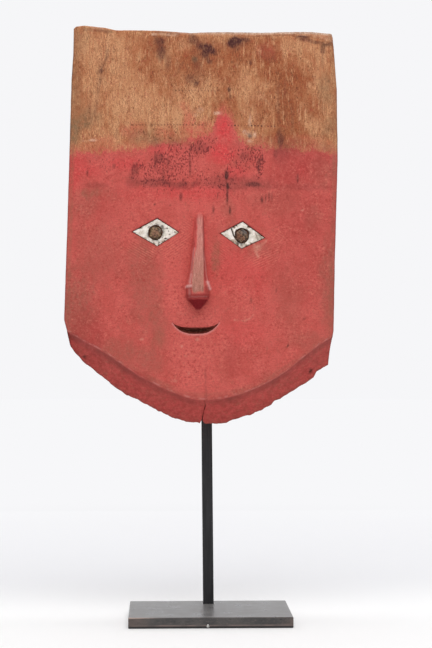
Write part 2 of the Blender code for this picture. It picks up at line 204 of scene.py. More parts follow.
# Where the red paint ends, seen from the front.
PAINT_EDGE = [
    (-136, 434), (-85, 434.5), (-62, 436), (-52, 440.5), (-38, 442.5), (-15, 444), (-3, 448),
    (2, 452), (4.5, 460), (7.5, 467), (11, 469.5), (15.5, 469), (19.5, 465), (22.5, 457), (25, 450),
    (29, 444), (36, 440), (49, 439.5), (60, 437), (72, 438.5), (90, 436), (104, 438), (121, 434),
]

# Marks on the surface, as (x, z, half width, half height, strength).
PAINT_WASHES = [
    (-19, 464, 6, 13, 0.75), (-16, 454, 12, 9, 0.6), (-70, 455, 14, 10, 0.5),
    (-42, 452, 14, 8, 0.4), (22, 456, 6, 11, 0.6), (-4, 456, 10, 10, 0.6), (-98, 444, 18, 8, 0.35),
    (84, 446, 30, 8, 0.35), (-25, 478, 6, 6, 0.3), (12, 474, 5, 6, 0.3), (54, 532, 12, 10, 0.25),
]
FRESH_PAINT = [
    (12.5, 456, 9, 15, 0.95), (10, 434, 14, 11, 0.9), (-124, 427, 12, 7, 0.5),
    (-128, 412, 9, 16, 0.5), (-112, 419, 14, 8, 0.4), (86, 422, 6, 8, 0.4), (-42, 437, 16, 5, 0.4),
    (-80, 425, 20, 7, 0.5), (-16, 398, 34, 9, 0.5), (24, 416, 12, 8, 0.5), (20, 330, 26, 30, 0.35),
    (-70, 397, 40, 8, 0.3), (-10, 352, 9, 40, 0.3), (30, 268, 26, 14, 0.3), (46, 318, 10, 26, 0.3),
]
FADED_PAINT = [
    (-61, 312, 18, 46, 0.5), (-48, 276, 10, 24, 0.45), (-58, 243, 18, 16, 0.45),
    (-122, 286, 18, 42, 0.7), (112, 310, 12, 50, 0.6), (-90, 250, 30, 16, 0.5),
    (-66, 345, 10, 12, 0.3), (-104, 340, 26, 34, 0.35), (74, 300, 16, 34, 0.3),
    (60, 390, 30, 14, 0.3), (40, 346, 26, 9, 0.35), (108, 420, 16, 18, 0.5),
    (-116, 385, 14, 16, 0.45), (14, 240, 10, 26, 0.12), (-96, 397, 26, 8, 0.4),
    (22, 365, 14, 8, 0.35), (16, 384, 8, 12, 0.4), (96, 376, 10, 14, 0.4), (88, 262, 20, 10, 0.35),
    (66, 224, 24, 10, 0.5), (102, 246, 12, 16, 0.35), (-52, 212, 10, 8, 0.5), (24, 203, 10, 6, 0.4),
    (-96, 233, 8, 6, 0.4),
]
LIGHT_PAINT = [
    (-32, 320, 15, 34, 0.9), (104, 242, 14, 14, 0.9), (66, 216, 16, 8, 0.4),
    (-16, 250, 26, 36, 0.7), (-14, 292, 22, 20, 0.4), (-40, 345, 14, 22, 0.4),
    (0, 385, 40, 10, 0.4), (-90, 372, 30, 14, 0.3), (30, 300, 18, 20, 0.25),
    (-18, 225, 14, 14, 0.4), (-12, 386, 10, 10, 0.4), (-11, 280, 20, 6, 0.9),
]
DEEP_PAINT = [
    (74, 430, 22, 20, 0.6), (76, 412, 28, 10, 0.6), (-112, 270, 20, 24, 0.65),
    (88, 368, 30, 16, 0.45), (98, 428, 16, 18, 0.55), (-96, 380, 16, 10, 0.3),
    (85, 390, 30, 14, 0.35), (80, 325, 34, 36, 0.25), (22, 246, 9, 24, 0.4), (-114, 428, 6, 6, 0.2),
    (-110, 245, 16, 14, 0.7), (-72, 222, 20, 14, 0.6), (-30, 200, 26, 12, 0.6),
    (10, 198, 22, 12, 0.5), (-128, 256, 6, 12, 0.5),
]
SOOT = [
    (62, 443, 48, 8, 0.13), (-40, 442, 34, 7, 0.08), (54, 528, 10, 10, 0.15), (22, 536, 11, 7, 0.2),
    (66, 436, 9, 16, 0.2), (78, 440, 12, 10, 0.12), (-6, 531, 15, 13, 0.3), (25, 539, 14, 7, 0.3),
    (-46, 533, 9, 13, 0.25), (-13, 506, 10, 12, 0.25), (-101, 512, 5, 12, 0.25),
    (-48, 540, 7, 5, 0.55), (-45, 529, 4.5, 11, 0.6), (-39, 518, 3.5, 8, 0.35),
    (-15, 541, 5, 6, 0.6), (-8, 534, 7, 4, 0.75), (-1, 532, 6.5, 5, 1), (-4, 527, 5, 5, 0.9),
    (-1, 521, 3, 3, 0.6), (24, 540, 8, 3.5, 1), (20, 537, 5, 4, 0.95), (2, 530, 5, 4, 0.95),
    (33, 541.5, 5, 2.5, 0.6), (-13, 519, 4, 8, 0.3), (-12, 500, 3, 2.6, 0.8),
    (-18, 504, 5, 4, 0.35), (106.7, 536, 1.4, 4.5, 0.7), (106, 524, 1.2, 8, 0.25),
    (88, 546, 8, 1.5, 0.8), (-100.9, 512.7, 2, 3, 0.95), (-102, 503, 1.6, 6, 0.4),
    (-95.5, 527, 1, 8, 0.35), (38.3, 519.8, 1.6, 3, 0.7), (17.8, 494, 1.6, 2.6, 0.9),
    (18.6, 488, 1, 4, 0.5), (65.5, 448, 3.4, 12, 0.6), (61, 436, 3, 6, 0.4),
    (37.6, 451, 2.8, 2.6, 0.95), (-71, 409, 8, 8, 0.33), (-50, 407, 20, 4.5, 0.42),
    (-28, 404.5, 14, 4, 0.45), (-15, 406, 5, 3, 0.4), (-69, 420, 4, 6, 0.5), (40, 406, 9, 3, 0.75),
    (26, 407, 34, 8, 0.38), (-46, 430, 4, 6, 0.5), (-51, 427, 1.4, 9, 0.5), (-43, 414, 1.2, 9, 0.4),
    (-39, 426, 1.2, 9, 0.4), (-8, 439, 9, 6, 0.3), (31, 432, 6, 5, 0.35), (45.5, 425, 1.8, 9, 0.55),
    (48.5, 431, 1.2, 6, 0.5), (-18.6, 427, 1.2, 16, 0.5), (85, 404, 36, 4, 0.22),
    (-108, 405, 14, 3, 0.25),
]
DRIPS = [
    (15.4, 414, 2.6, 6, 1), (16.3, 404, 2.6, 5, 1), (16, 395, 1.2, 10, 0.75),
    (18.4, 381.5, 1.4, 4.5, 0.8), (3, 381.5, 1.2, 4.5, 0.6), (48.2, 391.5, 1.6, 4, 0.8),
    (55, 394.5, 0.9, 6, 0.7), (52, 393, 0.9, 5, 0.6), (57.5, 394, 0.8, 5, 0.5),
    (-27, 394, 1.6, 5, 0.6), (-114, 416, 1.4, 3.6, 0.6), (82, 412, 1.4, 5, 0.6),
    (-89, 423, 1.2, 3, 0.6), (7, 395, 1, 4, 0.5), (-51.2, 387, 1, 1, 0.8), (-37, 386, 1, 1, 0.5),
    (20, 410, 5, 2, 0.6), (38, 298, 1, 3, 0.6), (88, 281.5, 1.2, 1.2, 0.6),
    (61.5, 307.5, 1, 2, 0.5), (72, 256, 1.3, 1.2, 0.9), (-117, 246, 1.8, 1.6, 0.8),
    (95.5, 232.3, 2.4, 2.4, 1), (-55, 382, 0.8, 1, 0.5), (48, 320, 1, 1.2, 0.4),
    (-72, 330, 1, 1, 0.4),
]
SPECK_CLOUDS = [
    (-30, 430, 30, 18, 0.8), (-6, 442, 16, 12, 0.85), (30, 428, 22, 18, 0.75),
    (-45, 414, 30, 20, 0.8), (5, 410, 26, 14, 0.7), (46, 427, 9, 18, 1), (-56, 452, 30, 10, 0.7),
    (-90, 424, 36, 12, 0.4), (10, 480, 70, 30, 0.32), (-100, 500, 40, 60, 0.35),
    (80, 500, 40, 50, 0.4), (40, 396, 50, 12, 0.3), (-15, 505, 30, 26, 0.35),
    (-10, 385, 40, 8, 0.15), (80, 425, 20, 12, 0.3), (-40, 466, 60, 12, 0.35),
]
RUSSET = [
    (55, 528, 13, 13, 0.95), (54, 533, 13, 14, 0.7), (71, 500, 10, 10, 0.5), (88, 477, 12, 14, 0.4),
    (37, 477, 8, 8, 0.3), (-31, 538, 8, 8, 0.4), (76, 500, 22, 36, 0.4), (-56, 514, 12, 16, 0.6),
    (-22, 516, 15, 16, 0.75), (4, 508, 14, 10, 0.4), (84, 503, 14, 13, 0.75),
    (56, 512, 13, 12, 0.7), (20, 507, 12, 13, 0.55), (40, 536, 14, 8, 0.5),
    (-115, 483, 10, 14, 0.5), (70, 496, 10, 10, 0.5), (22, 474, 10, 14, 0.4),
    (72, 472, 15, 24, 0.8), (98, 478, 9, 16, 0.5), (12, 484, 12, 14, 0.6), (30, 525, 26, 14, 0.7),
    (0, 524, 24, 14, 0.6), (-52, 535, 16, 10, 0.7), (-124, 505, 7, 36, 0.35),
    (48, 480, 14, 18, 0.6), (84, 448, 22, 14, 0.7), (70, 512, 16, 14, 0.5), (-38, 500, 8, 20, 0.4),
    (62, 450, 14, 14, 0.5),
]
PALE_WOOD = [
    (33, 500, 7, 18, 0.7), (-82, 477, 12, 12, 0.6), (34.5, 494, 2.6, 16, 0.9),
    (94, 501, 2.6, 3.6, 0.8), (-31, 489, 8, 8, 0.5), (104, 508, 8, 22, 0.6),
    (-82, 500, 14, 44, 0.6), (-26, 474, 26, 12, 0.5), (-110, 490, 10, 30, 0.45),
    (-26, 536, 6, 8, 0.5), (100, 455, 10, 14, 0.5), (-100, 452, 20, 7, 0.4), (38, 470, 8, 10, 0.5),
    (-58, 478, 20, 16, 0.55), (-40, 466, 24, 12, 0.65), (-102, 532, 26, 18, 1),
    (-14, 491, 13, 12, 0.7), (-70, 476, 18, 18, 0.6), (-64, 501, 8, 8, 0.5), (0, 497, 10, 8, 0.4),
    (38, 490, 8, 8, 0.5), (82, 537, 22, 8, 0.6), (104, 526, 8, 10, 0.7),
]
GRIME = [
    (-119, 540, 8, 14, 0.25), (-121, 463, 12, 8, 0.75), (-127, 455, 8, 12, 0.75),
    (-112, 470, 16, 10, 0.45), (-14, 522, 3.6, 3.6, 0.9), (109, 496, 8, 20, 0.5),
    (-126, 492, 8, 56, 0.35), (-62, 450, 16, 8, 0.5), (-50, 446, 8, 5, 0.6), (112, 462, 8, 12, 0.5),
    (-30, 446, 12, 5, 0.4), (-112, 398, 16, 5, 0.35), (110, 442, 12, 5, 0.35),
    (-46, 262, 8, 12, 0.3), (5.4, 338, 5.4, 20, 0.6),
]
RESIDUE = [
    (7.6, 472, 4, 1.8, 0.9), (-8.4, 475, 4, 2.5, 0.45), (37, 466, 1.6, 6, 0.8),
    (-108.9, 447.5, 6, 1.2, 0.7), (36, 452.5, 5, 4, 0.5), (32.6, 455, 2.4, 2, 0.9),
    (41.6, 452.5, 1.8, 3.2, 0.8), (37, 446.4, 3.2, 1.4, 0.8), (44, 347, 5, 4, 0.45),
    (-63, 262, 2, 0.9, 0.4), (86.6, 382.6, 1, 1, 0.8), (-26, 255.5, 1.2, 1.2, 0.6),
    (-12, 262, 1.6, 0.9, 0.6), (-13, 470, 3, 1.5, 0.4), (-23, 247, 1, 1, 0.4),
    (-76, 260, 1, 0.8, 0.4), (-20, 231, 1, 2, 0.4), (-33, 224, 3, 1, 0.4), (-117, 447, 2, 1, 0.5),
]
HATCHED = [
    (-62, 344, 16, 12, 0.9), (-34, 347, 15, 11, 0.9), (-24, 362, 10, 12, 0.7),
    (48, 336, 18, 10, 0.9), (62, 356, 12, 10, 0.5), (10, 346, 10, 10, 0.6),
]
# Rows of pricked dots across the wood, as (height, from x, to x, pitch, strength).
PRICKED_ROWS = [(460.6, 17, 62, 3.1, 0.95), (460.9, -74, -2, 2.9, 0.6), (493, -34, 8, 3, 0.6)]
PRICK_RADIUS = 0.9
HATCH_PITCH = 2.1
HATCH_STRENGTH = 0.36

# The bare strip down the nose as (height, left, right); then the painted highlight lines beside it,
# partly worn pale edges, and the painted shade lines along its sides.
NOSE_STRIP = [
    (379, -11.6, -7.6), (374, -12.2, -6.6), (358, -12.2, -5.8), (346, -12.8, -5.7),
    (334, -15.8, -5.5), (324, -16.4, -6.2), (317, -16.9, -6.6), (310, -17.6, -6.2),
    (305.5, -16.6, -6.6), (302.5, -14, -8.4),
]
# Painted highlights on the nose's edges and ledges, partly worn pale edges.
NOSE_HIGHLIGHTS_AND_WEAR = [
    ([(-15, 345.8), (-16.8, 332.4), (-17.9, 321.8)], 0.4, 0.5),
    ([(-17.9, 321.8), (-18.9, 313.6)], 0.7, 0.6), ([(-18.6, 310.9), (-21.6, 310.4)], 1.05, 0.95),
    ([(-19.6, 307.6), (-19.4, 303)], 0.6, 0.5),
    ([(-5.8, 341.8), (-4.2, 324.5), (-2.4, 314.5)], 0.3, 0.35),
    ([(-2.6, 314.8), (-0.4, 308.6)], 1, 1), ([(-20, 300.9), (-3.6, 300.9)], 0.4, 0.4),
]
NOSE_SHADE_LINES = [
    ([(-12.3, 377.2), (-13.6, 359.1), (-15.2, 345.8), (-17.2, 325.8)], 0.4, 0.35),
    ([(-6.4, 375.2), (-5.9, 345.8), (-5.4, 316.4)], 0.5, 0.5),
    ([(-21.6, 308.2), (-21.8, 302)], 0.6, 0.5), ([(-18.6, 309), (-17.6, 303.5)], 0.5, 0.35),
]

# The heights over which each of the nose's marks sets in or fades, and how far aside one sets in.
NOSE_FADES = {
    "bare_foot": (303.2, 306.6), "bare_top": (371, 381), "under_foot": (287.6, 290.6),
    "under_top": (298.2, 300), "beside_foot": (282, 291), "beside_top": (296, 302),
    "tip_foot": (297.8, 299.6), "lower_top": (302.8, 304.2), "block_top": (309.2, 310.6),
    "block_side": (5.4, 6.6),
}
# In metres, from where the bare strip down the nose is clean to where it has all gone grey.
NOSE_GREYING = (0.372, 0.3)

# Thin lines on the surface, as their points, half width and strength.
PALE_LINES = [
    ([(-53.7, 545.8), (-42, 545.6), (-30, 544.6)], 0.9, 0.95),
    ([(22, 280), (31.7, 279.5), (36.8, 281.2), (39.7, 284.6)], 0.5, 0.5),
    ([(40.5, 349.8), (42.2, 346), (43, 342), (44.8, 338.5)], 0.9, 0.6),
    ([(48, 349.5), (52, 353.5)], 0.8, 0.4), ([(-30, 286.5), (-22.9, 285.3)], 0.8, 0.12),
    ([(-96, 551.4), (-110, 553.6)], 0.9, 0.5),
]
DARK_LINES = [
    ([(-4.8, 234), (-4.2, 222), (-3.2, 204)], 0.5, 0.4), ([(-52, 544), (-38.5, 543.6)], 0.8, 0.55),
    ([(-50, 547.4), (-28.7, 545.9)], 0.8, 0.5), ([(83, 545.4), (90, 543.8)], 1.7, 0.8),
    ([(90, 544.4), (97, 541.6), (104, 540.8)], 1.2, 0.7),
    ([(104, 541), (110, 539), (116.5, 541.2)], 1.3, 0.7), ([(106.8, 540), (106.9, 533)], 1.8, 0.8),
    ([(106.8, 533), (106.6, 518)], 1, 0.3), ([(-95, 532), (-97, 522), (-100.5, 515)], 0.8, 0.6),
    ([(-100.5, 515), (-103, 501), (-107, 470)], 0.9, 0.4), ([(-117, 551.8), (-92, 549)], 1, 0.5),
    ([(-25, 519), (-31, 508)], 1, 0.3), ([(-12.5, 499), (-10, 508)], 0.9, 0.4),
    ([(70, 505), (71, 470)], 0.9, 0.3), ([(63.5, 500), (64.5, 462)], 0.9, 0.35),
    ([(77, 480), (77.5, 455)], 0.9, 0.3), ([(-86, 456), (-86.5, 449)], 1, 0.35),
    ([(-112, 480), (-112, 468)], 1, 0.35),
]

# The inlaid eyes, in each eye's own frame: cracks as their points, half width and depth, and marks
# as above.
SHELL_TURNS = 236
SHELL_RINGS = 32
PUPIL_TURNS = 72
PUPIL_RINGS = 16
SHELL_SEEDS = {"left": 100, "right": 110}
PUPIL_SEEDS = {"left": 120, "right": 130}
SHELL_CRACKS = {
    "left": [([(7.5, 3), (11, 3.8)], 0.4, 0.5), ([(-18.5, -1.8), (-14, -4)], 0.4, 0.5)],
    "right": [
        ([(-9.8, 6.3), (-8.7, 3.4), (-7.7, -0.1), (-6.2, -2.4)], 0.5, 1),
        ([(13, 2), (15, -4)], 0.4, 0.4), ([(16.4, 0.8), (18, -3)], 0.4, 0.4),
    ],
}
SHELL_DOTS = {
    "left": [
        (11, 3.6, 0.9, 0.7, 0.8), (12.2, 1.1, 0.7, 0.7, 0.7), (13.4, -2, 0.8, 0.6, 0.8),
        (9.4, -5.8, 1.6, 0.9, 1), (18.1, 0.1, 1, 0.8, 0.7), (6.3, 6.3, 0.6, 0.6, 0.5),
        (16, -0.6, 0.5, 0.5, 0.5), (3.4, -9.4, 1.5, 1.3, 0.7), (6.2, 4.6, 2.2, 2.6, 0.8),
        (7.2, 0.5, 1.6, 2.4, 0.7), (-5.6, 4.8, 1.4, 1.6, 0.6),
    ],
    "right": [
        (1.6, 7.6, 0.5, 0.5, 0.4), (-3.4, -6.6, 2.8, 2, 0.85), (-0.6, -8.2, 1.6, 2.2, 0.7),
        (-1.2, 10, 0.5, 0.5, 0.3), (-16.6, -2.4, 3.6, 0.6, 0.7),
    ],
}
SHELL_STAINS = {
    "left": [
        (-12.9, -0.2, 3, 3, 0.5), (2.1, 8.4, 2.6, 2, 0.45), (-14, -5.2, 7, 1.8, 0.8),
        (-9.7, -6.8, 2, 2, 0.8), (20, -0.4, 3, 2.4, 0.8), (-4, 7.5, 2.5, 1.6, 0.5),
        (0, -10, 2, 2, 0.4), (15, -3, 3, 2, 0.3),
    ],
    "right": [
        (-8.4, -5.2, 4, 2.2, 1), (-5, -8.6, 2.6, 2, 0.8), (16, -1.4, 3.4, 5, 0.6),
        (20.5, -3.4, 3.4, 3, 0.85), (-15, 0.6, 1.8, 1.8, 0.4), (1, -9.6, 3, 1.8, 0.6),
        (12.6, 0, 1.4, 5, 0.4),
    ],
}
PUPIL_RING = {"left": 0.5, "right": 0.2}
PUPIL_MARKS = {
    "core": {
        "left": [(-0.2, -0.8, 4.6, 5, 1)],
        "right": [(-2.6, -0.6, 3.4, 3, 0.9), (0.6, -3.4, 2.4, 2.4, 0.8)],
    },
    "cool": {
        "left": [(5, 2.4, 2.2, 3, 0.8), (-1, 5.2, 2.4, 1.6, 0.5)],
        "right": [(3, 4.2, 3.4, 2.8, 1), (0.4, 2.4, 2.4, 2, 0.4)],
    },
    "burnt": {
        "left": [
            (-5.6, 2.4, 2, 3.2, 1), (5.6, -0.8, 1.8, 2.8, 0.9), (1.6, -5.6, 3.4, 1.5, 1),
            (-3.6, -4.6, 1.6, 1.6, 0.7), (2.8, 5.6, 1.8, 1, 0.7),
        ],
        "right": [
            (-1.6, 5.6, 1.6, 1.4, 1), (-3.4, -5.2, 2.6, 1.8, 1), (5.2, -2.4, 1.6, 3, 0.7),
            (-5.6, -1.4, 1.4, 3, 0.7), (1.2, 0.8, 1.6, 1.4, 0.6), (1.4, -6, 2.4, 1.2, 0.6),
        ],
    },
}

# Where each of the base plate's marks sets in and where it is at its full strength, in metres.
PLATE_FADES = {
    "front": (-0.0488, -0.0496), "right_end": (0.06, 0.076), "left_end": (-0.052, -0.075),
    "bare_foot": (0.0019, 0.0024), "bare_top": (0.0036, 0.003), "rim_foot": (0.0091, 0.0095),
    "rim_front": (-0.0487, -0.0492), "rim_left": (-0.02, -0.055), "rod_front": (0.0284, 0.029),
    "rod_back": (0.0406, 0.04), "rod_side": (0.0064, 0.0056), "under_top": (0.0022, 0.0017),
}

# Colours in 0 to 255, most as they show in plain daylight; the shade and highlight colours stand in
# for light, as painted shade and painted highlights.
TAN = (189, 131, 91)
LIGHT_TAN = (206, 151, 110)
RED_BROWN = (171, 103, 68)
RUSSET_BROWN = (147, 74, 42)
FIBRE_BROWN = (116, 66, 42)
STRAW = (216, 162, 120)
WASHED_WOOD = (200, 94, 80)
PAINT_RED = (193, 84, 76)
PAINT_LIGHT = (208, 97, 89)
PAINT_FRESH = (210, 68, 70)
PAINT_FADED = (152, 88, 73)
PAINT_DEEP = (164, 60, 56)
PAINT_DUST = (220, 126, 108)
GOUGED_DARK = (148, 56, 52)
GOUGED_LIGHT = (198, 82, 78)
GOUGED_WORN = (150, 98, 78)
# Painted highlights on the nose, under the lower lip and along the chin's arris, partly worn pale
# edges.
EDGE_HIGHLIGHT_AND_WEAR = (226, 168, 162)
SHADE_COLOUR = (116, 16, 24)
SOOT_COLOUR = (76, 40, 38)
SPECK_ON_WOOD = (116, 68, 46)
SPECK_ON_PAINT = (122, 46, 46)
CHIN_SHADE_COLOUR = (120, 52, 46)
GRIME_COLOUR = (114, 96, 70)
RESIDUE_COLOUR = (224, 186, 160)
WORN_WOOD = (200, 127, 117)
WORN_GREY = (168, 116, 100)
WORN_LIGHT = (222, 168, 156)
WORN_DARK = (132, 84, 74)
BACK_DARK = (110, 74, 50)
BACK_LIGHT = (144, 104, 72)
BACK_STAIN = (84, 56, 40)
# Painted shade for the mouth, the eye pockets, the split and the pits.
HOLLOW_SHADE_DARK = (98, 56, 42)
HOLLOW_SHADE_LIGHT = (150, 104, 80)
# Painted shade along the worn side edges and the rim.
EDGE_SHADE_COLOUR = (104, 70, 58)
# Each pupil's dark and light grains and its middle.
RESIN_COLOURS = {
    "left": ((74, 58, 34), (160, 130, 96), (138, 92, 76)),
    "right": ((52, 38, 34), (150, 120, 96), (132, 76, 48)),
}
TORN_DARK = (168, 128, 104)
TORN_LIGHT = (216, 188, 168)
SHELL_DULL = (222, 214, 200)
SHELL_CLEAN = (246, 236, 226)
SHELL_GRAIN = (160, 146, 128)
SHELL_STAINED = (158, 130, 102)
SHELL_FLAKED = (150, 128, 104)
SHELL_CRACKED = (74, 60, 48)
RESIN_COOL = (104, 98, 96)
RESIN_BURNT = (58, 44, 30)
RESIN_GRAIN = (48, 36, 28)
# The plate's top is painted lighter than its front, as painted light.
PLATE_TOP_DARK = (100, 99, 99)
PLATE_TOP_LIGHT = (124, 122, 120)
PLATE_SIDE_DARK = (56, 54, 54)
PLATE_SIDE_LIGHT = (76, 72, 70)
PLATE_ENDS = (124, 100, 90)
PLATE_SPECKS = (116, 102, 94)
# A painted highlight low on the plate's front, and a painted contact shadow under it.
PLATE_LOW_HIGHLIGHT = (120, 102, 96)
PLATE_CONTACT_SHADOW = (24, 20, 20)
# Painted highlights on the plate's upper front edge and round the rod's foot.
PLATE_RIM_HIGHLIGHT = (196, 172, 160)
ROD_FOOT_HIGHLIGHT = (176, 172, 168)
ROD_DARK = (28, 28, 30)
ROD_LIGHT = (48, 48, 50)
ROD_SCUFFED = (96, 92, 90)
BRIGHT_DULL = (170, 168, 164)
BRIGHT_CLEAN = (214, 212, 208)


def lerp(a, b, share):
    return a + (b - a) * share


def ease(value, low, high):
    """0 at or below low, 1 at or above high, and smooth between them."""
    share = np.clip((value - low) / (high - low), 0, 1)
    return share * share * (3 - 2 * share)


def noise(u, v, seed, octaves=3):
    """Smooth random heights from about -1 to 1, one hill to each unit of u and v."""
    total = 0
    for octave in range(octaves):
        table = np.random.default_rng(1000 * seed + octave).uniform(-1, 1, (256, 256))
        a, b = np.asarray(u) * 2**octave, np.asarray(v) * 2**octave
        i, j = np.floor(a).astype(int), np.floor(b).astype(int)
        s, t = ease(a - i, 0, 1), ease(b - j, 0, 1)
        near = lerp(table[i % 256, j % 256], table[(i + 1) % 256, j % 256], s)
        far = lerp(table[i % 256, (j + 1) % 256], table[(i + 1) % 256, (j + 1) % 256], s)
        total = total + lerp(near, far, t) / 2**octave
    return total / (2 - 2 ** (1 - octaves))


def plateaus(place, seed):
    """Random heights from 0 to 1, level along each unit, then a short steep step to the next."""
    table = np.random.default_rng(seed).uniform(0, 1, 256)
    cell = np.floor(place).astype(int)
    return lerp(table[cell % 256], table[(cell + 1) % 256], ease(place - cell, 0.72, 1))


def through(points, place, given=0, wanted=1):
    """The straight-line value of a list of points at each place."""
    table = np.array(sorted(points, key=lambda point: point[given]))
    return np.interp(place, table[:, given], table[:, wanted])


def arris_drop(inset):
    """How far a worn edge falls back at an inset from it."""
    return ARRIS - np.sqrt(ARRIS**2 - (ARRIS - np.clip(inset, 0, ARRIS)) ** 2)


def face_depth(x, z):
    """The board's thickness: a flat middle that falls away to both sides, thinner at the crown."""
    height = np.clip((z - CHIN_Z) / (CROWN_Z - CHIN_Z), 0, 1)
    middle = lerp(THICKNESS_AT_CHIN, THICKNESS_AT_CROWN, height)
    off = np.maximum(np.abs(x - FACE_AXIS_X) - FLAT_HALF_WIDTH, 0)
    share = off / (FACE_HALF_WIDTH - FLAT_HALF_WIDTH)
    return middle - FALL_TO_SIDES * lerp(share**2, share, EVEN_FALL)


def graded(spans):
    """Places along a line at each span's pitch, in a number of steps that BACK_STEP divides."""
    places = [spans[0][0]]
    for start, end, pitch in spans:
        steps = math.ceil((end - start) / pitch)
        places += [lerp(start, end, (i + 1) / steps) for i in range(steps)]
    wanted = BACK_STEP * math.ceil((len(places) - 1) / BACK_STEP) + 1
    return np.interp(np.linspace(0, len(places) - 1, wanted), np.arange(len(places)), places)


def front_grid():
    """The front as a grid, rows from the rim to the top, with how far its edges fall back."""
    left, right = RIM[0][0], RIM[-1][0]
    across = (graded(COLUMN_SPANS) - left) / (right - left)
    up = (graded(ROW_SPANS) - CHIN_Z) / (CROWN_Z - CHIN_Z)
    up, across = np.meshgrid(up, across, indexing="ij")
    chin_z = through(CHIN_EDGE, lerp(CHIN_EDGE[0][0], CHIN_EDGE[-1][0], across))
    top_z = through(TOP_EDGE, lerp(TOP_EDGE[0][0], TOP_EDGE[-1][0], across))
    left_x = through(LEFT_SIDE, lerp(CHIN_EDGE[0][1], TOP_EDGE[0][1], up), 1, 0)
    right_x = through(RIGHT_SIDE, lerp(CHIN_EDGE[-1][1], TOP_EDGE[-1][1], up), 1, 0)
    x, z = lerp(left_x, right_x, across), lerp(chin_z, top_z, up)
    below_top = top_z - z
    drop = arris_drop(np.minimum(np.minimum(x - left_x, right_x - x), z - chin_z))

    # The torn strip along the top, whose foot wanders.
    strip = through(CHAMFER, x) * (1 + 0.35 * noise(x / 5, 0 * x, 3)) - below_top
    torn = ease(strip, 0, 0.6)
    tear = 0.35 + 0.45 * noise(x / 1.7, z / 1.3, 4)
    drop += CHAMFER_RECESS * np.maximum(strip, 0) + torn * tear
    torn_foot = np.exp(-(((strip + 0.5) / 0.7) ** 2))

    # The band below the chin steps back at once, then turns to face forward.
    rise = np.sin(math.pi / 2 * np.arange(BAND_ROWS) / BAND_ROWS)[:, None]
    rim_x = lerp(left, right, across[:1])
    rim_z = through(RIM, rim_x)
    step = COVE_STEP * np.minimum((z[:1] - rim_z) / COVE_FULL_HEIGHT, 1)
    band_x, band_z = lerp(rim_x, x[:1], rise), lerp(rim_z, z[:1], rise)
    at_chin = face_depth(x[:1], z[:1]) - drop[:1]
    band_drop = face_depth(band_x, band_z) - at_chin + step * (1 - rise**COVE_POWER)
    none = band_z * 0
    parts = {
        "x": (band_x, x), "z": (band_z, z), "drop": (band_drop, drop),
        "below_top": (none + CROWN_Z, below_top), "torn": (none, torn),
        "torn_foot": (none, torn_foot), "above_rim": (band_z - rim_z, z - rim_z),
        "above_chin": (band_z - z[:1], z - z[:1]), "band": (none + 1 - rise, z * 0),
    }
    grid = {name: np.vstack(pair) for name, pair in parts.items()}
    grid["from_left"] = grid["x"] - grid["x"][:, :1]
    grid["from_right"] = grid["x"][:, -1:] - grid["x"]
    return grid


def wear_outline(grid):
    """Nibbles at the outline, always inwards, and keeps the true one as smooth_x and smooth_z."""
    x, z = grid["x"].copy(), grid["z"].copy()
    grid["smooth_x"], grid["smooth_z"] = x.copy(), z.copy()
    for name, way, hill, seed in (("from_left", 0.2, 9, 11), ("from_right", -0.25, 11, 13)):
        side = 0.45 * (1 + noise(z / hill, x * 0, seed))
        side += 0.25 * (1 + noise(z / 2.4, x * 0, seed + 1))
        x += way * side * np.exp(-grid[name] / 2.5)
    z -= 0.18 * (1 + noise(x / 3, x * 0, 15)) * np.exp(-grid["below_top"] / 2.5)
    tooth = 0.7 * plateaus(x / 4.6 + 0.5 * noise(x / 9, x * 0, 17), 16) ** 2
    tooth += 0.35 * plateaus(x / 1.9, 18) ** 2
    tooth += 0.4 * np.maximum(noise(x / 2.6, x * 0, 19) - 0.1, 0)
    z += 1.3 * tooth * np.exp(-grid["above_rim"] / 2)
    grid["x"], grid["z"] = x, z


def lozenge_distance(corners):
    """A function of x and z: how far outside a lozenge a place is, and below 0 inside it."""

    def distance(x, z):
        furthest = -np.inf
        for (x0, z0), (x1, z1) in zip(corners, corners[1:] + corners[:1]):
            length = math.hypot(x1 - x0, z1 - z0)
            furthest = np.maximum(furthest, ((x - x0) * (z0 - z1) + (z - z0) * (x1 - x0)) / length)
        return furthest

    return distance


def mouth_arcs(x):
    """The upper and the lower lip's heights."""
    off = np.minimum(np.abs(x - MOUTH_X) / MOUTH_HALF_WIDTH, 1)
    upper = MOUTH_CORNER_Z - MOUTH_UPPER_SAG * (1 - off**MOUTH_UPPER_POWER)
    lower = MOUTH_CORNER_Z - MOUTH_LOWER_SAG * (1 - off**MOUTH_LOWER_POWER)
    return upper, lower


def mouth_distance(x, z):
    upper, lower = mouth_arcs(x)
    return np.maximum(z - upper, lower - z)


def nose_lines(z):
    """The nose's middle, its half widths and its two heights off the face, all at a height z."""
    return [through(NOSE_SECTIONS, z, 0, wanted) for wanted in range(1, 7)]


def nose_height(x, z):
    """How far the nose stands off the face, with its two long edges worn round."""
    middle, ridge, wing, root, wing_height, ridge_height = nose_lines(z)
    off = np.abs(x - middle)
    total = 0
    for shift, weight in ((-NOSE_WEAR, 0.25), (0, 0.5), (NOSE_WEAR, 0.25)):
        share = np.clip((off + shift - ridge) / np.maximum(wing - ridge, 0.1), 0, 1)
        total = total + weight * lerp(ridge_height, wing_height, share)
    foot = np.clip((off - wing) / (root - wing), 0, 1)
    return np.maximum(lerp(total, 0, foot), 0)


def at_edge(inside, upward=True):
    """The points with a neighbour on the other side of a cut's outline."""
    edge = np.zeros_like(inside)
    for out, cut in ((edge.T, inside.T), (edge, inside))[: 2 if upward else 1]:
        change = cut[1:] != cut[:-1]
        out[1:] |= change
        out[:-1] |= change
    return edge


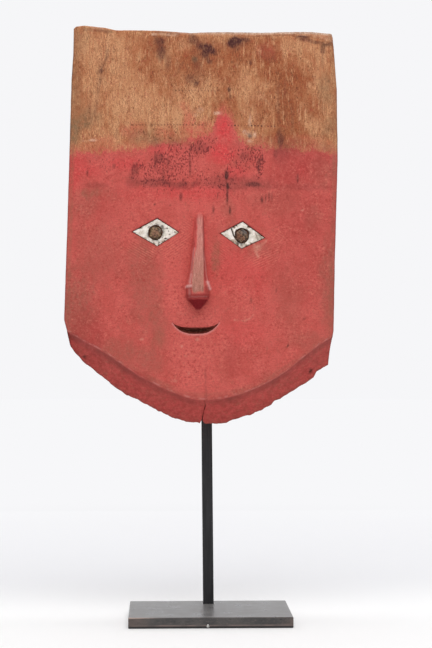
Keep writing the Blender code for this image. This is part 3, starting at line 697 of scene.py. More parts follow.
def draw_to_outline(grid, distance):
    """Moves the points on both sides of an outline onto it, so that the cut gets a clean wall."""
    x, z = grid["x"], grid["z"]
    inside = distance(x, z) < 0
    edge = at_edge(inside)
    step = 0.01
    for _ in range(3):
        by_x = (distance(x + step, z) - distance(x - step, z)) / (2 * step)
        by_z = (distance(x, z + step) - distance(x, z - step)) / (2 * step)
        pull = (np.where(inside, -CUT_WALL, 0) - distance(x, z)) / (by_x**2 + by_z**2 + 1e-6)
        x[edge] += (pull * by_x)[edge]
        z[edge] += (pull * by_z)[edge]
    return inside


def draw_to_corners(grid, inside, corners):
    """Puts the nearest point outside a cut exactly on each of its corners."""
    outside = at_edge(inside) & ~inside
    for corner_x, corner_z in corners:
        far = np.hypot(grid["x"] - corner_x, grid["z"] - corner_z) + np.where(outside, 0, 1e3)
        place = np.unravel_index(np.argmin(far), far.shape)
        grid["x"][place], grid["z"][place] = corner_x, corner_z


def draw_to_nose(grid):
    """Moves the two points at each side of the nose's foot sideways, onto its wing and its root."""
    x, z = grid["x"], grid["z"]
    middle, _, wing, root, _, _ = nose_lines(z)
    spine = np.argmin(np.abs(x[0] - FACE_AXIS_X))
    steep = nose_lines(z[:, [spine]])[4] > NOSE_WALL_LEAST
    inside = (np.abs(x - middle) < (wing + root) / 2) & steep
    edge = at_edge(inside, upward=False)
    x[edge] = (middle + np.sign(x - middle) * np.where(inside, wing, root))[edge]
    return inside


def draw_to_split(grid):
    """Brings three columns of the grid to the split in the chin, and says how deep it is there."""
    x, z = grid["x"], grid["z"]
    depth = np.zeros_like(x)
    for row in range(x.shape[0]):
        column = np.argmin(np.abs(x[row] - through(CHIN_SPLIT, z[row], 1, 0)))
        height = z[row, column]
        if height > CHIN_SPLIT[0][1]:
            break
        middle = through(CHIN_SPLIT, height, 1, 0) + 0.25 * noise(height / 2.5, 0, 21)
        half = through(CHIN_SPLIT, height, 1, 2)
        for side in (-1, 0, 1):
            x[row, column + side] = middle + side * half
        depth[row, column] = SPLIT_DEPTH * ease(half, 0.05, 0.6)
    return depth


def eye_frame(side):
    """The eye's own frame: its middle on the face, +Y straight in. Its numbers are millimetres."""
    x, z = EYES[side]["pupil"]
    by_x = (face_depth(x + 1, z) - face_depth(x - 1, z)) / 2
    by_z = (face_depth(x, z + 1) - face_depth(x, z - 1)) / 2
    inward = Vector((by_x, 1, by_z)).normalized()
    place = Vector((x, BOARD_BACK_Y - face_depth(x, z), z))
    return Matrix.Translation(place) @ inward.to_track_quat("Y", "Z").to_matrix().to_4x4()


def grown(corners, margin):
    """A lozenge whose four sides have each moved out by a margin."""
    lines = []
    for (x0, z0), (x1, z1) in zip(corners, corners[1:] + corners[:1]):
        along_side = Vector((x1 - x0, z1 - z0)).normalized()
        outward = Vector((-along_side.y, along_side.x))
        lines.append((Vector((x0, z0)) + outward * margin, along_side))
    points = []
    for (start, way), (other, other_way) in zip(lines[-1:] + lines[:-1], lines):
        reach = (other - start).cross(other_way) / way.cross(other_way)
        points.append(tuple(start + way * reach))
    return points


def pocket_corners(side):
    """The corners of the eye's pocket as they lie on the face."""
    frame = eye_frame(side)
    x, z = EYES[side]["pupil"]
    local = [(cx - x, cz - z) for cx, cz in grown(EYES[side]["corners"], POCKET_MARGIN)]
    placed = [frame @ Vector((lx, 0, lz)) for lx, lz in local]
    return [(point.x, point.z) for point in placed]


def pocket_depth(side, x, z):
    """The depth of the pocket's floor, which lies square to the eye's frame."""
    frame = eye_frame(side)
    inward, place = frame.col[1].to_3d(), frame.translation
    floor = SHELL_RECESS + SHELL_THICKNESS + GAP
    y = place.y + (floor - inward.x * (x - place.x) - inward.z * (z - place.z)) / inward.y
    return BOARD_BACK_Y - y


def adze_relief(x, z):
    """Shallow hollows left by the blade, and the grain's long ridges, strongest on bare wood."""
    bare = ease(z, 425, 460)
    hollows = 0.32 * noise(x / 21, z / 36, 31) + 0.16 * noise(x / 8, z / 13, 32)
    grain = lerp(0.07, 0.16, bare) * noise(x / 1.9, z / 34, 33, 2)
    return hollows + grain


def carve_front(grid):
    """Gives the front its depth, with all that is cut in it. Returns what each point is in.

    That is 1 or 2 in an eye's pocket, 3 in the mouth, 4 on the nose and 0 elsewhere.
    """
    cuts = np.zeros(grid["x"].shape, int)
    for number, side in enumerate(EYES, 1):
        corners = pocket_corners(side)
        inside = draw_to_outline(grid, lozenge_distance(corners))
        draw_to_corners(grid, inside, corners)
        cuts[inside] = number
    cuts[draw_to_outline(grid, mouth_distance)] = 3
    cuts[draw_to_nose(grid)] = 4
    split = draw_to_split(grid)

    x, z = grid["x"], grid["z"]
    rough = 0.5 * noise(x / 6, z / 4.5, 41) + 0.22 * noise(x / 2.1, z / 2.4, 42)
    depth = face_depth(x, z) - grid["drop"] + lerp(adze_relief(x, z), rough, grid["band"])
    depth += nose_height(x, z)
    # Painted shade in the split and the pits.
    hollow_shade = ease(split, 0.2, 2)
    for pit_x, pit_z, radius, deep in PITS:
        share = 1 - ease(np.hypot(x - pit_x, z - pit_z), radius * 0.4, radius * 1.2)
        depth -= deep * share
        hollow_shade = np.maximum(hollow_shade, 0.3 * share)
    depth -= split
    for number, side in enumerate(EYES, 1):
        depth = np.where(cuts == number, pocket_depth(side, x, z), depth)

    # The mouth's floor rises to the lower lip and a little to the upper one.
    upper, lower = mouth_arcs(x)
    below_roof = ease(upper - z, 0, 2.4)
    deep = MOUTH_DEPTH * ease(z - lower, -1.5, 3.6) * lerp(0.4, 1, below_roof)
    mouth_floor = face_depth(x, z) - deep + 0.7 * noise(x / 3, z / 2.5, 43)
    grid["depth"] = np.where(cuts == 3, mouth_floor, depth)
    # Painted shade in the mouth, lighter at its lower lip and under its roof; the eye pockets get
    # it in full.
    dark = lerp(0.62, 1, ease(z - lower + 0.6 * noise(x / 2, z / 2, 44), 0.6, 3))
    dark *= lerp(0.45, 1, below_roof)
    grid["hollow_shade"] = np.maximum(hollow_shade, np.where(cuts == 3, dark, (cuts > 0) & (cuts < 3)))
    return cuts


def front_faces(numbers, cuts):
    """Quads of a grid of point numbers, and two triangles each where a cut's edge passes."""
    corner = [numbers[:-1, :-1], numbers[:-1, 1:], numbers[1:, 1:], numbers[1:, :-1]]
    a, b, c, d = (part.ravel() for part in corner)
    in_a, in_b, in_c, in_d = (cuts.ravel()[part] for part in (a, b, c, d))
    plain = (in_a == in_b) & (in_b == in_c) & (in_c == in_d)
    rising = ~plain & (in_a == in_c)
    falling = ~plain & ~rising
    faces = np.stack([a, b, c, d], 1)[plain].tolist()
    for first, second, third, fourth, where in ((a, b, c, d, rising), (b, c, d, a, falling)):
        faces += np.stack([first, second, third], 1)[where].tolist()
        faces += np.stack([first, third, fourth], 1)[where].tolist()
    return faces


def border_loop(rows, columns):
    """The spots on a grid's border, once round, counterclockwise from its lower left corner."""
    bottom = [(0, column) for column in range(columns - 1)]
    right = [(row, columns - 1) for row in range(rows - 1)]
    top = [(rows - 1, column) for column in range(columns - 1, 0, -1)]
    left = [(row, 0) for row in range(rows - 1, 0, -1)]
    return bottom + right + top + left


def side_rings(grid, loop):
    """The board's sides as rings of points behind the border, from the front to the back."""
    rows, columns = np.array(loop).T
    worn = np.stack([grid["x"][rows, columns], grid["z"][rows, columns]], 1)
    true = np.stack([grid["smooth_x"][rows, columns], grid["smooth_z"][rows, columns]], 1)
    tangent = np.roll(true, -3, 0) - np.roll(true, 3, 0)
    inward = np.stack([-tangent[:, 1], tangent[:, 0]], 1)
    inward /= np.linalg.norm(inward, axis=1)[:, None]
    front_y = BOARD_BACK_Y - grid["depth"][rows, columns]
    length = np.arange(len(loop)) * BORDER_PITCH
    rings = []
    for ring in range(1, SIDE_RINGS + 1):
        share = ring / SIDE_RINGS
        y = lerp(front_y, BOARD_BACK_Y, share)
        dent = 0.45 * (1 + noise(y / 12, length / 26, 51)) + 1.4 * ease(share, 0.86, 1)
        dent += 0.2 * (1 + noise(y / 5, length / 5, 52))
        place = lerp(worn, true, min(share * 3, 1)) + inward * dent[:, None] * ease(share, 0, 0.3)
        rings.append(np.column_stack([place[:, 0], y, place[:, 1]]))
    return rings


def back_faces(numbers, ring_numbers, loop, step):
    """Coarse cells that close the back. Those at the border take in all the fine points there."""
    place = {spot: i for i, spot in enumerate(loop)}
    rows, columns = numbers.shape

    def run(start, end):
        first, last = (place.get((row * step, column * step)) for row, column in (start, end))
        if first is None or last is None or (last - first) % len(loop) != step:
            return [numbers[start]]
        return [ring_numbers[(first + i) % len(loop)] for i in range(step)]

    faces = []
    for row in range(rows - 1):
        for column in range(columns - 1):
            corners = [(row, column), (row, column + 1), (row + 1, column + 1), (row + 1, column)]
            face = []
            for start, end in zip(corners, corners[1:] + corners[:1]):
                face += run(start, end)
            faces.append([int(number) for number in reversed(face)])
    return faces


def spots(x, z, marks, seed, ragged=0.45):
    """How strongly a list of marks covers each place, with ragged edges."""
    clear = np.ones_like(x)
    wobble = ragged * noise(x / 4.5, z / 7, seed, 4)
    for mark_x, mark_z, wide, high, strength in marks:
        reach = np.hypot((x - mark_x) / wide, (z - mark_z) / high) + wobble
        clear *= 1 - strength * (1 - ease(reach, 0.35, 1.25))
    return 1 - clear


def near_line(x, z, line, half_width):
    """1 on a line of points, falling to 0 at its half width."""
    nearest = np.full_like(x, 1e3)
    for (x0, z0), (x1, z1) in zip(line, line[1:]):
        along_x, along_z = x1 - x0, z1 - z0
        share = ((x - x0) * along_x + (z - z0) * along_z) / (along_x**2 + along_z**2)
        share = np.clip(share, 0, 1)
        nearest = np.minimum(nearest, np.hypot(x - x0 - share * along_x, z - z0 - share * along_z))
    return 1 - ease(nearest, half_width * 0.3, half_width)


def drawn_lines(x, z, lines):
    """How strongly lines cover each place. Each has its points, its half width and its strength."""
    return np.maximum.reduce([
        strength * near_line(x, z, line, 2 * half_width) for line, half_width, strength in lines
    ])


def surface_masks(x, z, behind, front):
    """What lies on the wood at each point, by how far behind the front's edge it is."""
    edge = through(PAINT_EDGE, x) + 3 * noise(x / 8, z / 8, 61) + 2 * noise(x / 2.5, z / 3, 62)
    paint = ease(edge - z, -9, 8)
    paint *= 1 - ease(behind + 0.12 * noise(x / 9 + behind * 4, z / 9, 64), 0.72, 0.95)
    lists = {
        "fresh": FRESH_PAINT, "faded": FADED_PAINT, "soot": SOOT, "specks": SPECK_CLOUDS,
        "russet": RUSSET, "pale": PALE_WOOD, "grime": GRIME, "residue": RESIDUE, "hatched": HATCHED,
        "light": LIGHT_PAINT, "deep": DEEP_PAINT,
    }
    masks = {}
    for seed, (name, marks) in enumerate(lists.items(), 70):
        masks[name] = spots(x, z, marks, seed) * front
    broken = 0.75 + 0.5 * noise(x / 2.5, z / 3.5, 65)
    for name, lines in (("soot", DARK_LINES), ("residue", PALE_LINES)):
        masks[name] = np.maximum(masks[name], drawn_lines(x, z, lines) * broken * front)
    masks["soot"] = np.maximum(masks["soot"], spots(x, z, DRIPS, 90, 0.3) * front)
    masks["paint"] = paint
    halo = 0.5 * ease(edge - z, -16, -3)
    masks["wash"] = np.maximum(spots(x, z, PAINT_WASHES, 63), halo) * front
    return masks


def nose_marks(x, z):
    """Bare wood down the nose's ridge, the painted highlights beside it, and painted shade under
    and round its tip and along its sides.
    """
    fades = NOSE_FADES
    middle, _, _, root, _, _ = nose_lines(z)
    left, right = through(NOSE_STRIP, z), through(NOSE_STRIP, z, 0, 2)
    wander = 0.5 * noise(x / 2, z / 5, 66)
    bare = ease(x, left - 0.5 + wander, left + 0.5 + wander)
    bare *= 1 - ease(x, right - 0.5, right + 0.5)
    bare *= ease(z + 3 * wander, *fades["bare_foot"])
    bare *= 1 - ease(z + 2 * wander, *fades["bare_top"])
    off = np.abs(x - middle)
    within = 1 - ease(off, root - 0.6, root + 0.6)
    # Painted shade under the tip, beside it, on its lower front and on the block's sides.
    nose_shade = (1 - ease(z, *fades["under_top"])) * ease(z, *fades["under_foot"]) * within
    beside = 0.26 * (1 - ease(off, root - 2, root + 8)) * ease(z, *fades["beside_foot"])
    beside *= 1 - ease(z, *fades["beside_top"])
    tip = ease(z, *fades["tip_foot"]) * within
    lower = 0.62 * (1 - ease(z, *fades["lower_top"])) * tip
    block = 0.3 * (1 - ease(z, *fades["block_top"])) * tip * ease(off, *fades["block_side"])
    dark = np.maximum.reduce([nose_shade, beside, lower, block, drawn_lines(x, z, NOSE_SHADE_LINES)])
    return bare, drawn_lines(x, z, NOSE_HIGHLIGHTS_AND_WEAR), dark


def chin_shade(x, above_chin):
    """The dark line under the chin's edge, which comes and goes, and the shade below it."""
    below = -above_chin + 0.5 * noise(x / 3, above_chin / 2, 67)
    strength = 0.5 + 0.3 * noise(x / 20, x * 0, 68) + 0.2 * noise(x / 6, above_chin / 4, 58)
    return strength * ease(below, 0, 1.4) * (1 - ease(below, 2, 10))


def eye_reach(x, z):
    """How far outside the nearer eye's lozenge a place is, and the shade just over that eye."""
    reaches = [lozenge_distance(EYES[side]["corners"])(x, z) for side in EYES]
    reach = np.minimum(*reaches)
    over = 0
    for side, own in zip(EYES, reaches):
        over = over + ease(z - EYES[side]["pupil"][1], -2, 2) * (reach == own)
    return reach, lerp(0.15, 0.55, over) * (1 - ease(reach, 0.4, 1.7))


def add_mesh(name, points, faces, masks=None):
    """A mesh object, from points in millimetres, with each mask as an attribute of its points."""
    mesh = bpy.data.meshes.new(name)
    mesh.from_pydata((np.asarray(points) * MM).tolist(), [], faces)
    for mask, values in (masks or {}).items():
        attribute = mesh.attributes.new(mask, "FLOAT", "POINT")
        attribute.data.foreach_set("value", np.asarray(values, np.float32).ravel())
    mesh.validate()
    piece = bpy.data.objects.new(name, mesh)
    bpy.context.scene.collection.objects.link(piece)
    return piece


def hand_over(piece, nodes, material, sharp):
    """Shades a piece, gives it its material and puts it in the place of the given solids."""
    piece.data.materials.clear()
    piece.data.materials.append(material)
    piece.data.shade_smooth()
    piece.data.set_sharp_from_angle(angle=math.radians(sharp))
    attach(piece, "root")
    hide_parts(*nodes)


def close_board(grid, cuts):
    """The whole board as points and faces: a fine front, coarser sides and a plain back.

    It also says how far behind each point is: 0 on the front, 1 at the back's edge, 2 on the back.
    """
    rows, columns = cuts.shape
    numbers = np.arange(rows * columns).reshape(rows, columns)
    faces = front_faces(numbers, cuts)
    front = [grid["x"].ravel(), BOARD_BACK_Y - grid["depth"].ravel(), grid["z"].ravel()]

    loop = border_loop(rows, columns)
    rings = side_rings(grid, loop)
    ring_numbers = [numbers[tuple(np.array(loop).T)]]
    for ring in range(len(rings)):
        ring_numbers.append(rows * columns + ring * len(loop) + np.arange(len(loop)))
    for ahead, after in zip(ring_numbers, ring_numbers[1:]):
        next_ahead, next_after = np.roll(ahead, -1), np.roll(after, -1)
        faces += np.stack([after, next_after, next_ahead, ahead], 1).tolist()

    coarse = np.full((rows // BACK_STEP + 1, columns // BACK_STEP + 1), -1)
    inner = coarse[1:-1, 1:-1]
    first = rows * columns + len(rings) * len(loop)
    inner[...] = first + np.arange(inner.size).reshape(inner.shape)
    for spot, number in zip(loop, ring_numbers[-1]):
        if spot[0] % BACK_STEP == 0 and spot[1] % BACK_STEP == 0:
            coarse[spot[0] // BACK_STEP, spot[1] // BACK_STEP] = number
    faces += back_faces(coarse, ring_numbers[-1], loop, BACK_STEP)
    inside = (slice(BACK_STEP, -1, BACK_STEP),) * 2
    back_x, back_z = (grid[name][inside].ravel() for name in ("smooth_x", "smooth_z"))
    scoop = 0.4 * (1 + noise(back_x / 16, back_z / 30, 53))
    scoop += 0.1 * (1 + noise(back_x / 5, back_z / 20, 54))
    back = np.column_stack([back_x, BOARD_BACK_Y - scoop, back_z])

    points = np.vstack([np.column_stack(front)] + rings + [back])
    points[:, 0] = np.maximum(points[:, 0], LEFTMOST_X)
    side = np.repeat(np.arange(1, SIDE_RINGS + 1) / SIDE_RINGS, len(loop))
    behind = np.concatenate([np.zeros(numbers.size), side, np.full(len(back), 2)])
    return points, faces, behind


def board_masks(grid, points, behind):
    """All masks of the board's points: what lies on the wood, and what follows from the carving."""
    masks = surface_masks(points[:, 0], points[:, 2], behind, (behind < 1).astype(float))
    flat = {name: values.ravel() for name, values in grid.items()}
    x, z, above, above_rim = (flat[name] for name in ("x", "z", "above_chin", "above_rim"))
    bare, bright, nose_shade = nose_marks(x, z)
    upper, lower = mouth_arcs(x)
    at_mouth = np.abs(x - MOUTH_X) < MOUTH_HALF_WIDTH
    # Under the lower lip, a painted highlight along a worn pale edge; just over the mouth's roof,
    # painted shade.
    lower_lip = (1 - ease(lower - z, 0.5, 2.2)) * (z < lower + 0.1) * at_mouth
    upper_lip = (1 - ease(z - upper, 0, 1.8)) * (z > upper) * at_mouth
    near_chin = (1 - ease(np.abs(above - 2), 2, 6)) * (0.5 + 0.5 * noise(x / 14, above / 5, 69))
    # A painted highlight along the arris just above the chin's edge.
    arris_highlight = (1 - ease(np.abs(above - 0.7), 0.4, 1.4)) * ease(noise(x / 3, above / 2, 59), -0.1, 0.5)
    inset = np.minimum(flat["from_left"], flat["from_right"])
    fringe = np.exp(-(((inset - 3.6) / 1.7) ** 2)) * (0.4 + 0.25 * noise(x / 3, z / 14, 56))
    # Painted shade: a dark line along the worn side edges and along the rim.
    line = np.maximum(np.exp(-np.minimum(inset, above_rim) / 0.9), np.exp(-above_rim / 1.5))
    upper_part = lerp(1, 0.2, ease(flat["below_top"], 1, 2.4))
    front_only = {
        "hollow_shade": flat["hollow_shade"],
        "torn": flat["torn"] * upper_part * lerp(0.3, 0.9, ease(x, -30, 20)),
        "worn": bare,
        "bright": np.maximum.reduce([bright, 0.42 * lower_lip, 0.24 * arris_highlight]),
        "shade": np.maximum(nose_shade, 0.5 * upper_lip),
        "faded": 0.7 * near_chin,
        "soot": flat["torn_foot"] * lerp(0, 0.35, ease(x, -10, 40)),
        "grime": fringe * (above > 0),
        "band": ease(-above, -0.2, 1.5),
        "chin": chin_shade(x, above),
        "edge": line * (0.7 + 0.3 * noise(x / 3, z / 6, 57)),
    }
    for name, values in front_only.items():
        values = np.concatenate([values, np.zeros(len(points) - len(values))])
        masks[name] = np.maximum(masks[name], values) if name in masks else values
    reach, over_eye = eye_reach(points[:, 0], points[:, 2])
    masks["shade"] = np.maximum(masks["shade"], over_eye * (behind == 0))
    masks["reach"] = np.clip(reach, 0, 40)
    masks["back"] = ease(behind, 0.8, 1.2)
    return masks


def make_mask():
    """The carved board, closed into one mesh."""
    grid = front_grid()
    wear_outline(grid)
    cuts = carve_front(grid)
    points, faces, behind = close_board(grid, cuts)
    mask = add_mesh("mask_carved", points, faces, board_masks(grid, points, behind))
    hand_over(mask, ["mask"], mask_material(), sharp=50)


def linear(colour):
    """A colour in 0 to 255 as the plain light values that a shader takes."""
    shares = [part / 255 for part in colour]
    return tuple(s / 12.92 if s <= 0.04045 else ((s + 0.055) / 1.055) ** 2.4 for s in shares) + (1,)


class Look:
    """A material and short calls that add nodes to it. Sizes of patterns are in millimetres."""

    def __init__(self, name, **settings):
        self.material = bpy.data.materials.new(name)
        self.material.use_nodes = True
        self.tree = self.material.node_tree
        self.shader = self.tree.nodes["Principled BSDF"]
        self.shade(**settings)
        self.place = self.add("TexCoord").outputs["Object"]

    def add(self, kind, *values, **settings):
        """A node with its settings, and with values on its first sockets."""
        node = self.tree.nodes.new("ShaderNode" + kind)
        for name, value in settings.items():
            setattr(node, name, value)
        for socket, value in zip(node.inputs, values):
            self.put(socket, value)
        return node

    def put(self, socket, value):
        if isinstance(value, bpy.types.NodeSocket):
            self.tree.links.new(value, socket)
        else:
            socket.default_value = value

    def shade(self, **values):
        for socket, value in values.items():
            self.put(self.shader.inputs[socket.replace("_", " ")], value)

    def mask(self, name):
        return self.add("Attribute", attribute_name=name).outputs["Fac"]

    def math(self, operation, *values, clamp=False):
        return self.add("Math", *values, operation=operation, use_clamp=clamp).outputs[0]

    def times(self, *values, clamp=False):
        return self.math("MULTIPLY", *values, clamp=clamp)

    def blend(self, first, share, second):
        return self.math("ADD", self.times(first, share), self.times(second, 1 - share))

    def length(self, *parts):
        """How long a line with these two parts, square to each other, is."""
        return self.math("SQRT", self.math("ADD", *(self.times(part, part) for part in parts)))

    def mix(self, share, low, high, way="MIX"):
        node = self.add("Mix", share, data_type="RGBA", blend_type=way)
        for place, value in ((6, low), (7, high)):
            self.put(node.inputs[place], linear(value) if isinstance(value, tuple) else value)
        return node.outputs[2]

    def coats(self, colour, *coats):
        """Lays colours over a first one. Each coat is a share from 0 to 1 and its colour."""
        for share, over in coats:
            colour = self.mix(share, colour, over)
        return colour

    def spread(self, value, low, high, to_low=0, to_high=1):
        """Turns a value's range from low to high smoothly into another range."""
        numbers = (low, high, to_low, to_high)
        return self.add("MapRange", value, *numbers, interpolation_type="SMOOTHSTEP").outputs[0]

    def noise(self, size, detail=3, roughness=0.5):
        """Random hills of one size, or of a size along x, y and z."""
        sizes = size if isinstance(size, tuple) else (size, size, size)
        scale = [1 / (part * MM) for part in sizes]
        place = self.add("VectorMath", self.place, scale, operation="MULTIPLY").outputs[0]
        node = self.add("TexNoise", place)
        for name, value in (("Scale", 1), ("Detail", detail), ("Roughness", roughness)):
            node.inputs[name].default_value = value
        return node.outputs[0]

    def dissolve(self, mask, grain, break_up, softness):
        """A mask whose soft edges break up into grains."""
        shift = self.spread(grain, 0.25, 0.75, -break_up, break_up)
        reach = self.math("MULTIPLY_ADD", mask, 1 + break_up, shift)
        return self.spread(reach, 0.5 - softness, 0.5 + softness)

    def patchy(self, mask, grain, least, most):
        """A mask that a grain makes thinner and thicker, still soft at its edges."""
        mask = self.mask(mask) if isinstance(mask, str) else mask
        return self.times(mask, self.spread(grain, 0.3, 0.7, least, most), clamp=True)

    def split_place(self):
        return list(self.add("SeparateXYZ", self.place).outputs)

    def bump(self, height, depth, strength):
        """Tips the surface by a height, whose whole range is that many millimetres deep."""
        node = self.add("Bump")
        for name, value in (("Strength", strength), ("Distance", depth * MM), ("Height", height)):
            self.put(node.inputs[name], value)
        self.shade(Normal=node.outputs[0])


def wood_colour(look, fine, ragged):
    """Bare wood: tan with short upright fibres, red-brown areas and pale ones."""
    tone = look.blend(look.noise((15, 20, 24), 5, 0.6), 0.45, look.noise((4.5, 6, 8), 4, 0.65))
    streaks = look.noise((2.4, 5, 15), 4, 0.6)
    fibres = look.noise((0.75, 4, 3.2), 3, 0.65)
    lively = look.spread(look.noise((11, 12, 17), 3, 0.6), 0.36, 0.62, 0.3, 1.5)
    russet = look.mask("russet")
    dark = look.times(look.math("MULTIPLY_ADD", russet, 0.25, 0.5), lively, clamp=True)
    off_russet = look.math("MULTIPLY_ADD", russet, -0.8, 1)
    pale = look.times(look.spread(fibres, 0.45, 0.3, 0, 0.7), off_russet)
    return look.coats(
        RED_BROWN,
        (look.spread(tone, 0.36, 0.6), TAN),
        (look.spread(tone, 0.5, 0.7, 0, 0.8), LIGHT_TAN),
        (look.patchy(russet, ragged, 0.6, 1.3), RUSSET_BROWN),
        (look.patchy("pale", ragged, 0.4, 1.1), LIGHT_TAN),
        (look.spread(streaks, 0.5, 0.66, 0, 0.6), RED_BROWN),
        (look.spread(streaks, 0.46, 0.3, 0, 0.6), STRAW),
        (look.times(look.spread(fibres, 0.5, 0.66), dark), FIBRE_BROWN),
        (look.times(pale, lively, clamp=True), STRAW),
        (look.spread(fine, 0.54, 0.7, 0, 0.6), FIBRE_BROWN),
    )


def paint_colour(look, fine):
    """Red pigment, brighter where it is thick and browner where it has worn thin."""
    mottle = look.noise((3.2, 4, 3.6), 4, 0.65)
    small = look.noise((2.2, 3, 2), 3, 0.6)
    band = look.mask("band")
    lively = look.spread(look.noise((22, 20, 26), 4, 0.6), 0.38, 0.62, 0.35, 1.5)
    lively = look.times(lively, look.spread(band, 0, 1, 1, 0.5))
    gouged = look.coats(
        GOUGED_DARK,
        (look.spread(look.noise((4.5, 6, 3.6), 5, 0.65), 0.34, 0.66), GOUGED_LIGHT),
        (look.spread(look.noise((4, 5, 2.6), 4, 0.65), 0.5, 0.66, 0, 0.5), GOUGED_WORN),
    )
    return look.coats(
        PAINT_RED,
        (look.spread(look.noise((16, 20, 22), 5, 0.6), 0.38, 0.62, 0, 0.6), PAINT_LIGHT),
        (look.patchy("light", mottle, 0.5, 1.2), PAINT_LIGHT),
        (look.patchy("faded", mottle, 1.3, 0.5), PAINT_FADED),
        (look.spread(mottle, 0.52, 0.74, 0, 0.4), PAINT_FADED),
        (look.patchy("fresh", mottle, 0.5, 1.2), PAINT_FRESH),
        (look.patchy("deep", mottle, 1.2, 0.4), PAINT_DEEP),
        # Painted shade: the band under the chin, which faces down, is made deeper red, then given
        # its gouged texture.
        (look.times(band, 0.3), PAINT_DEEP),
        (look.times(band, 0.55), gouged),
        (look.spread(look.noise((5, 4, 0.9), 2), 0.5, 0.7, 0, 0.25), PAINT_DEEP),
        (look.times(look.spread(small, 0.53, 0.68, 0, 0.5), lively, clamp=True), PAINT_DEEP),
        (look.times(look.spread(small, 0.46, 0.32, 0, 0.24), lively, clamp=True), PAINT_DUST),
        (look.spread(fine, 0.56, 0.7, 0, 0.2), PAINT_DEEP),
    )


def hatching(look):
    """Fine scratches alongside the eyes: how strongly they show, and their light and dark lines."""
    wave = look.math("SINE", look.times(look.mask("reach"), 2 * math.pi / HATCH_PITCH))
    broken = look.spread(look.noise((2.5, 3, 2.5)), 0.35, 0.6)
    share = look.times(look.times(look.mask("hatched"), broken), HATCH_STRENGTH)
    return share, look.mix(look.spread(wave, -0.6, 0.6), PAINT_DEEP, PAINT_DUST)


def pricked(look):
    """Rows of small dark dots, evenly spaced."""
    across, _, up = look.split_place()
    total = 0
    for height, start, end, pitch, strength in PRICKED_ROWS:
        turn = look.math("FRACT", look.math("DIVIDE", across, pitch * MM))
        aside = look.times(look.math("SUBTRACT", turn, 0.5), pitch)
        above = look.times(look.math("SUBTRACT", up, height * MM), 1 / MM)
        far = look.length(aside, above)
        dot = look.spread(far, PRICK_RADIUS * 0.5, PRICK_RADIUS * 1.3, strength, 0)
        begun = look.math("GREATER_THAN", across, start * MM)
        going = look.math("LESS_THAN", across, end * MM)
        total = look.math("ADD", total, look.times(dot, look.times(begun, going)))
    return look.times(total, look.spread(look.noise(5, 2), 0.35, 0.6, 0.3, 1))


def worn_colour(look, streaks):
    """Bare wood down the nose's ridge, greyer towards its foot."""
    up = look.split_place()[2]
    low = look.spread(up, *NOSE_GREYING)
    low = look.math("ADD", low, look.spread(streaks, 0.3, 0.7, -0.2, 0.2))
    scraped = look.noise((1.3, 4, 9), 3, 0.6)
    return look.coats(
        WORN_WOOD,
        (low, WORN_GREY),
        (look.spread(scraped, 0.46, 0.32, 0, 0.35), WORN_LIGHT),
        (look.spread(scraped, 0.53, 0.68, 0, 0.55), WORN_DARK),
    )


def back_colour(look, fine):
    """The unpainted back: plain long-grained wood with a few stains."""
    return look.coats(
        BACK_DARK,
        (look.spread(look.noise((5, 5, 70), 5, 0.6), 0.3, 0.7), BACK_LIGHT),
        (look.spread(look.noise((22, 20, 40), 4), 0.45, 0.7, 0, 0.5), BACK_STAIN),
        (look.spread(fine, 0.55, 0.7, 0, 0.4), BACK_STAIN),
    )


def mask_material():
    look = Look("painted_wood", Specular_IOR_Level=0.25)
    grain = look.noise((0.8, 1, 0.8), 2)
    fine = look.noise((1.6, 2, 1.8), 3, 0.65)
    coarse = look.noise((3.4, 4, 4.2), 4, 0.65)
    streaks = look.noise((0.9, 2, 3.5), 3, 0.65)
    ragged = look.blend(fine, 0.5, coarse)
    painted = look.mask("paint")
    speck = look.noise((1.3, 2, 2.3), 2, 0.6)
    speck = look.math("MULTIPLY_ADD", look.mask("specks"), 0.24, speck)
    colour = look.coats(
        wood_colour(look, fine, ragged),
        (look.patchy("wash", ragged, 0.35, 1.15), WASHED_WOOD),
        (look.dissolve(painted, ragged, 0.5, 0.42), paint_colour(look, fine)),
        (look.patchy("grime", coarse, 0.3, 0.9), GRIME_COLOUR),
        hatching(look),
        (look.times(look.mask("worn"), 0.9), worn_colour(look, streaks)),
        (look.spread(speck, 0.69, 0.81, 0, 0.9), look.mix(painted, SPECK_ON_WOOD, SPECK_ON_PAINT)),
        (look.patchy("soot", look.blend(streaks, 0.6, fine), 0.6, 1.3), SOOT_COLOUR),
        (pricked(look), SOOT_COLOUR),
        (look.patchy("residue", ragged, 0, 1), RESIDUE_COLOUR),
        # Painted highlights on the nose, under the lower lip and along the chin's arris, partly
        # worn pale edges.
        (look.mask("bright"), EDGE_HIGHLIGHT_AND_WEAR),
        (look.mask("torn"), look.mix(look.spread(fine, 0.35, 0.65), TORN_DARK, TORN_LIGHT)),
        # Painted shade along the worn side edges and the rim.
        (look.times(look.mask("edge"), 0.75), EDGE_SHADE_COLOUR),
        (look.mask("chin"), CHIN_SHADE_COLOUR),
        (look.mask("shade"), SHADE_COLOUR),
        (look.mask("back"), back_colour(look, fine)),
        # Painted shade in the mouth, the eye pockets, the split and the pits.
        (look.mask("hollow_shade"), look.mix(look.spread(coarse, 0.45, 0.65), HOLLOW_SHADE_DARK, HOLLOW_SHADE_LIGHT)),
    )
    swing = look.math("MULTIPLY_ADD", painted, -0.08, 0.2)
    swing = look.times(look.spread(grain, 0.25, 0.75, -1, 1), swing)
    colour = look.mix(1, colour, look.math("ADD", swing, 1), "MULTIPLY")
    look.shade(Base_Color=colour, Roughness=look.spread(fine, 0.3, 0.7, 0.72, 0.92))
    look.bump(look.blend(look.noise((1.1, 4, 24)), 0.6, grain), 0.25, 0.8)
    return look.material


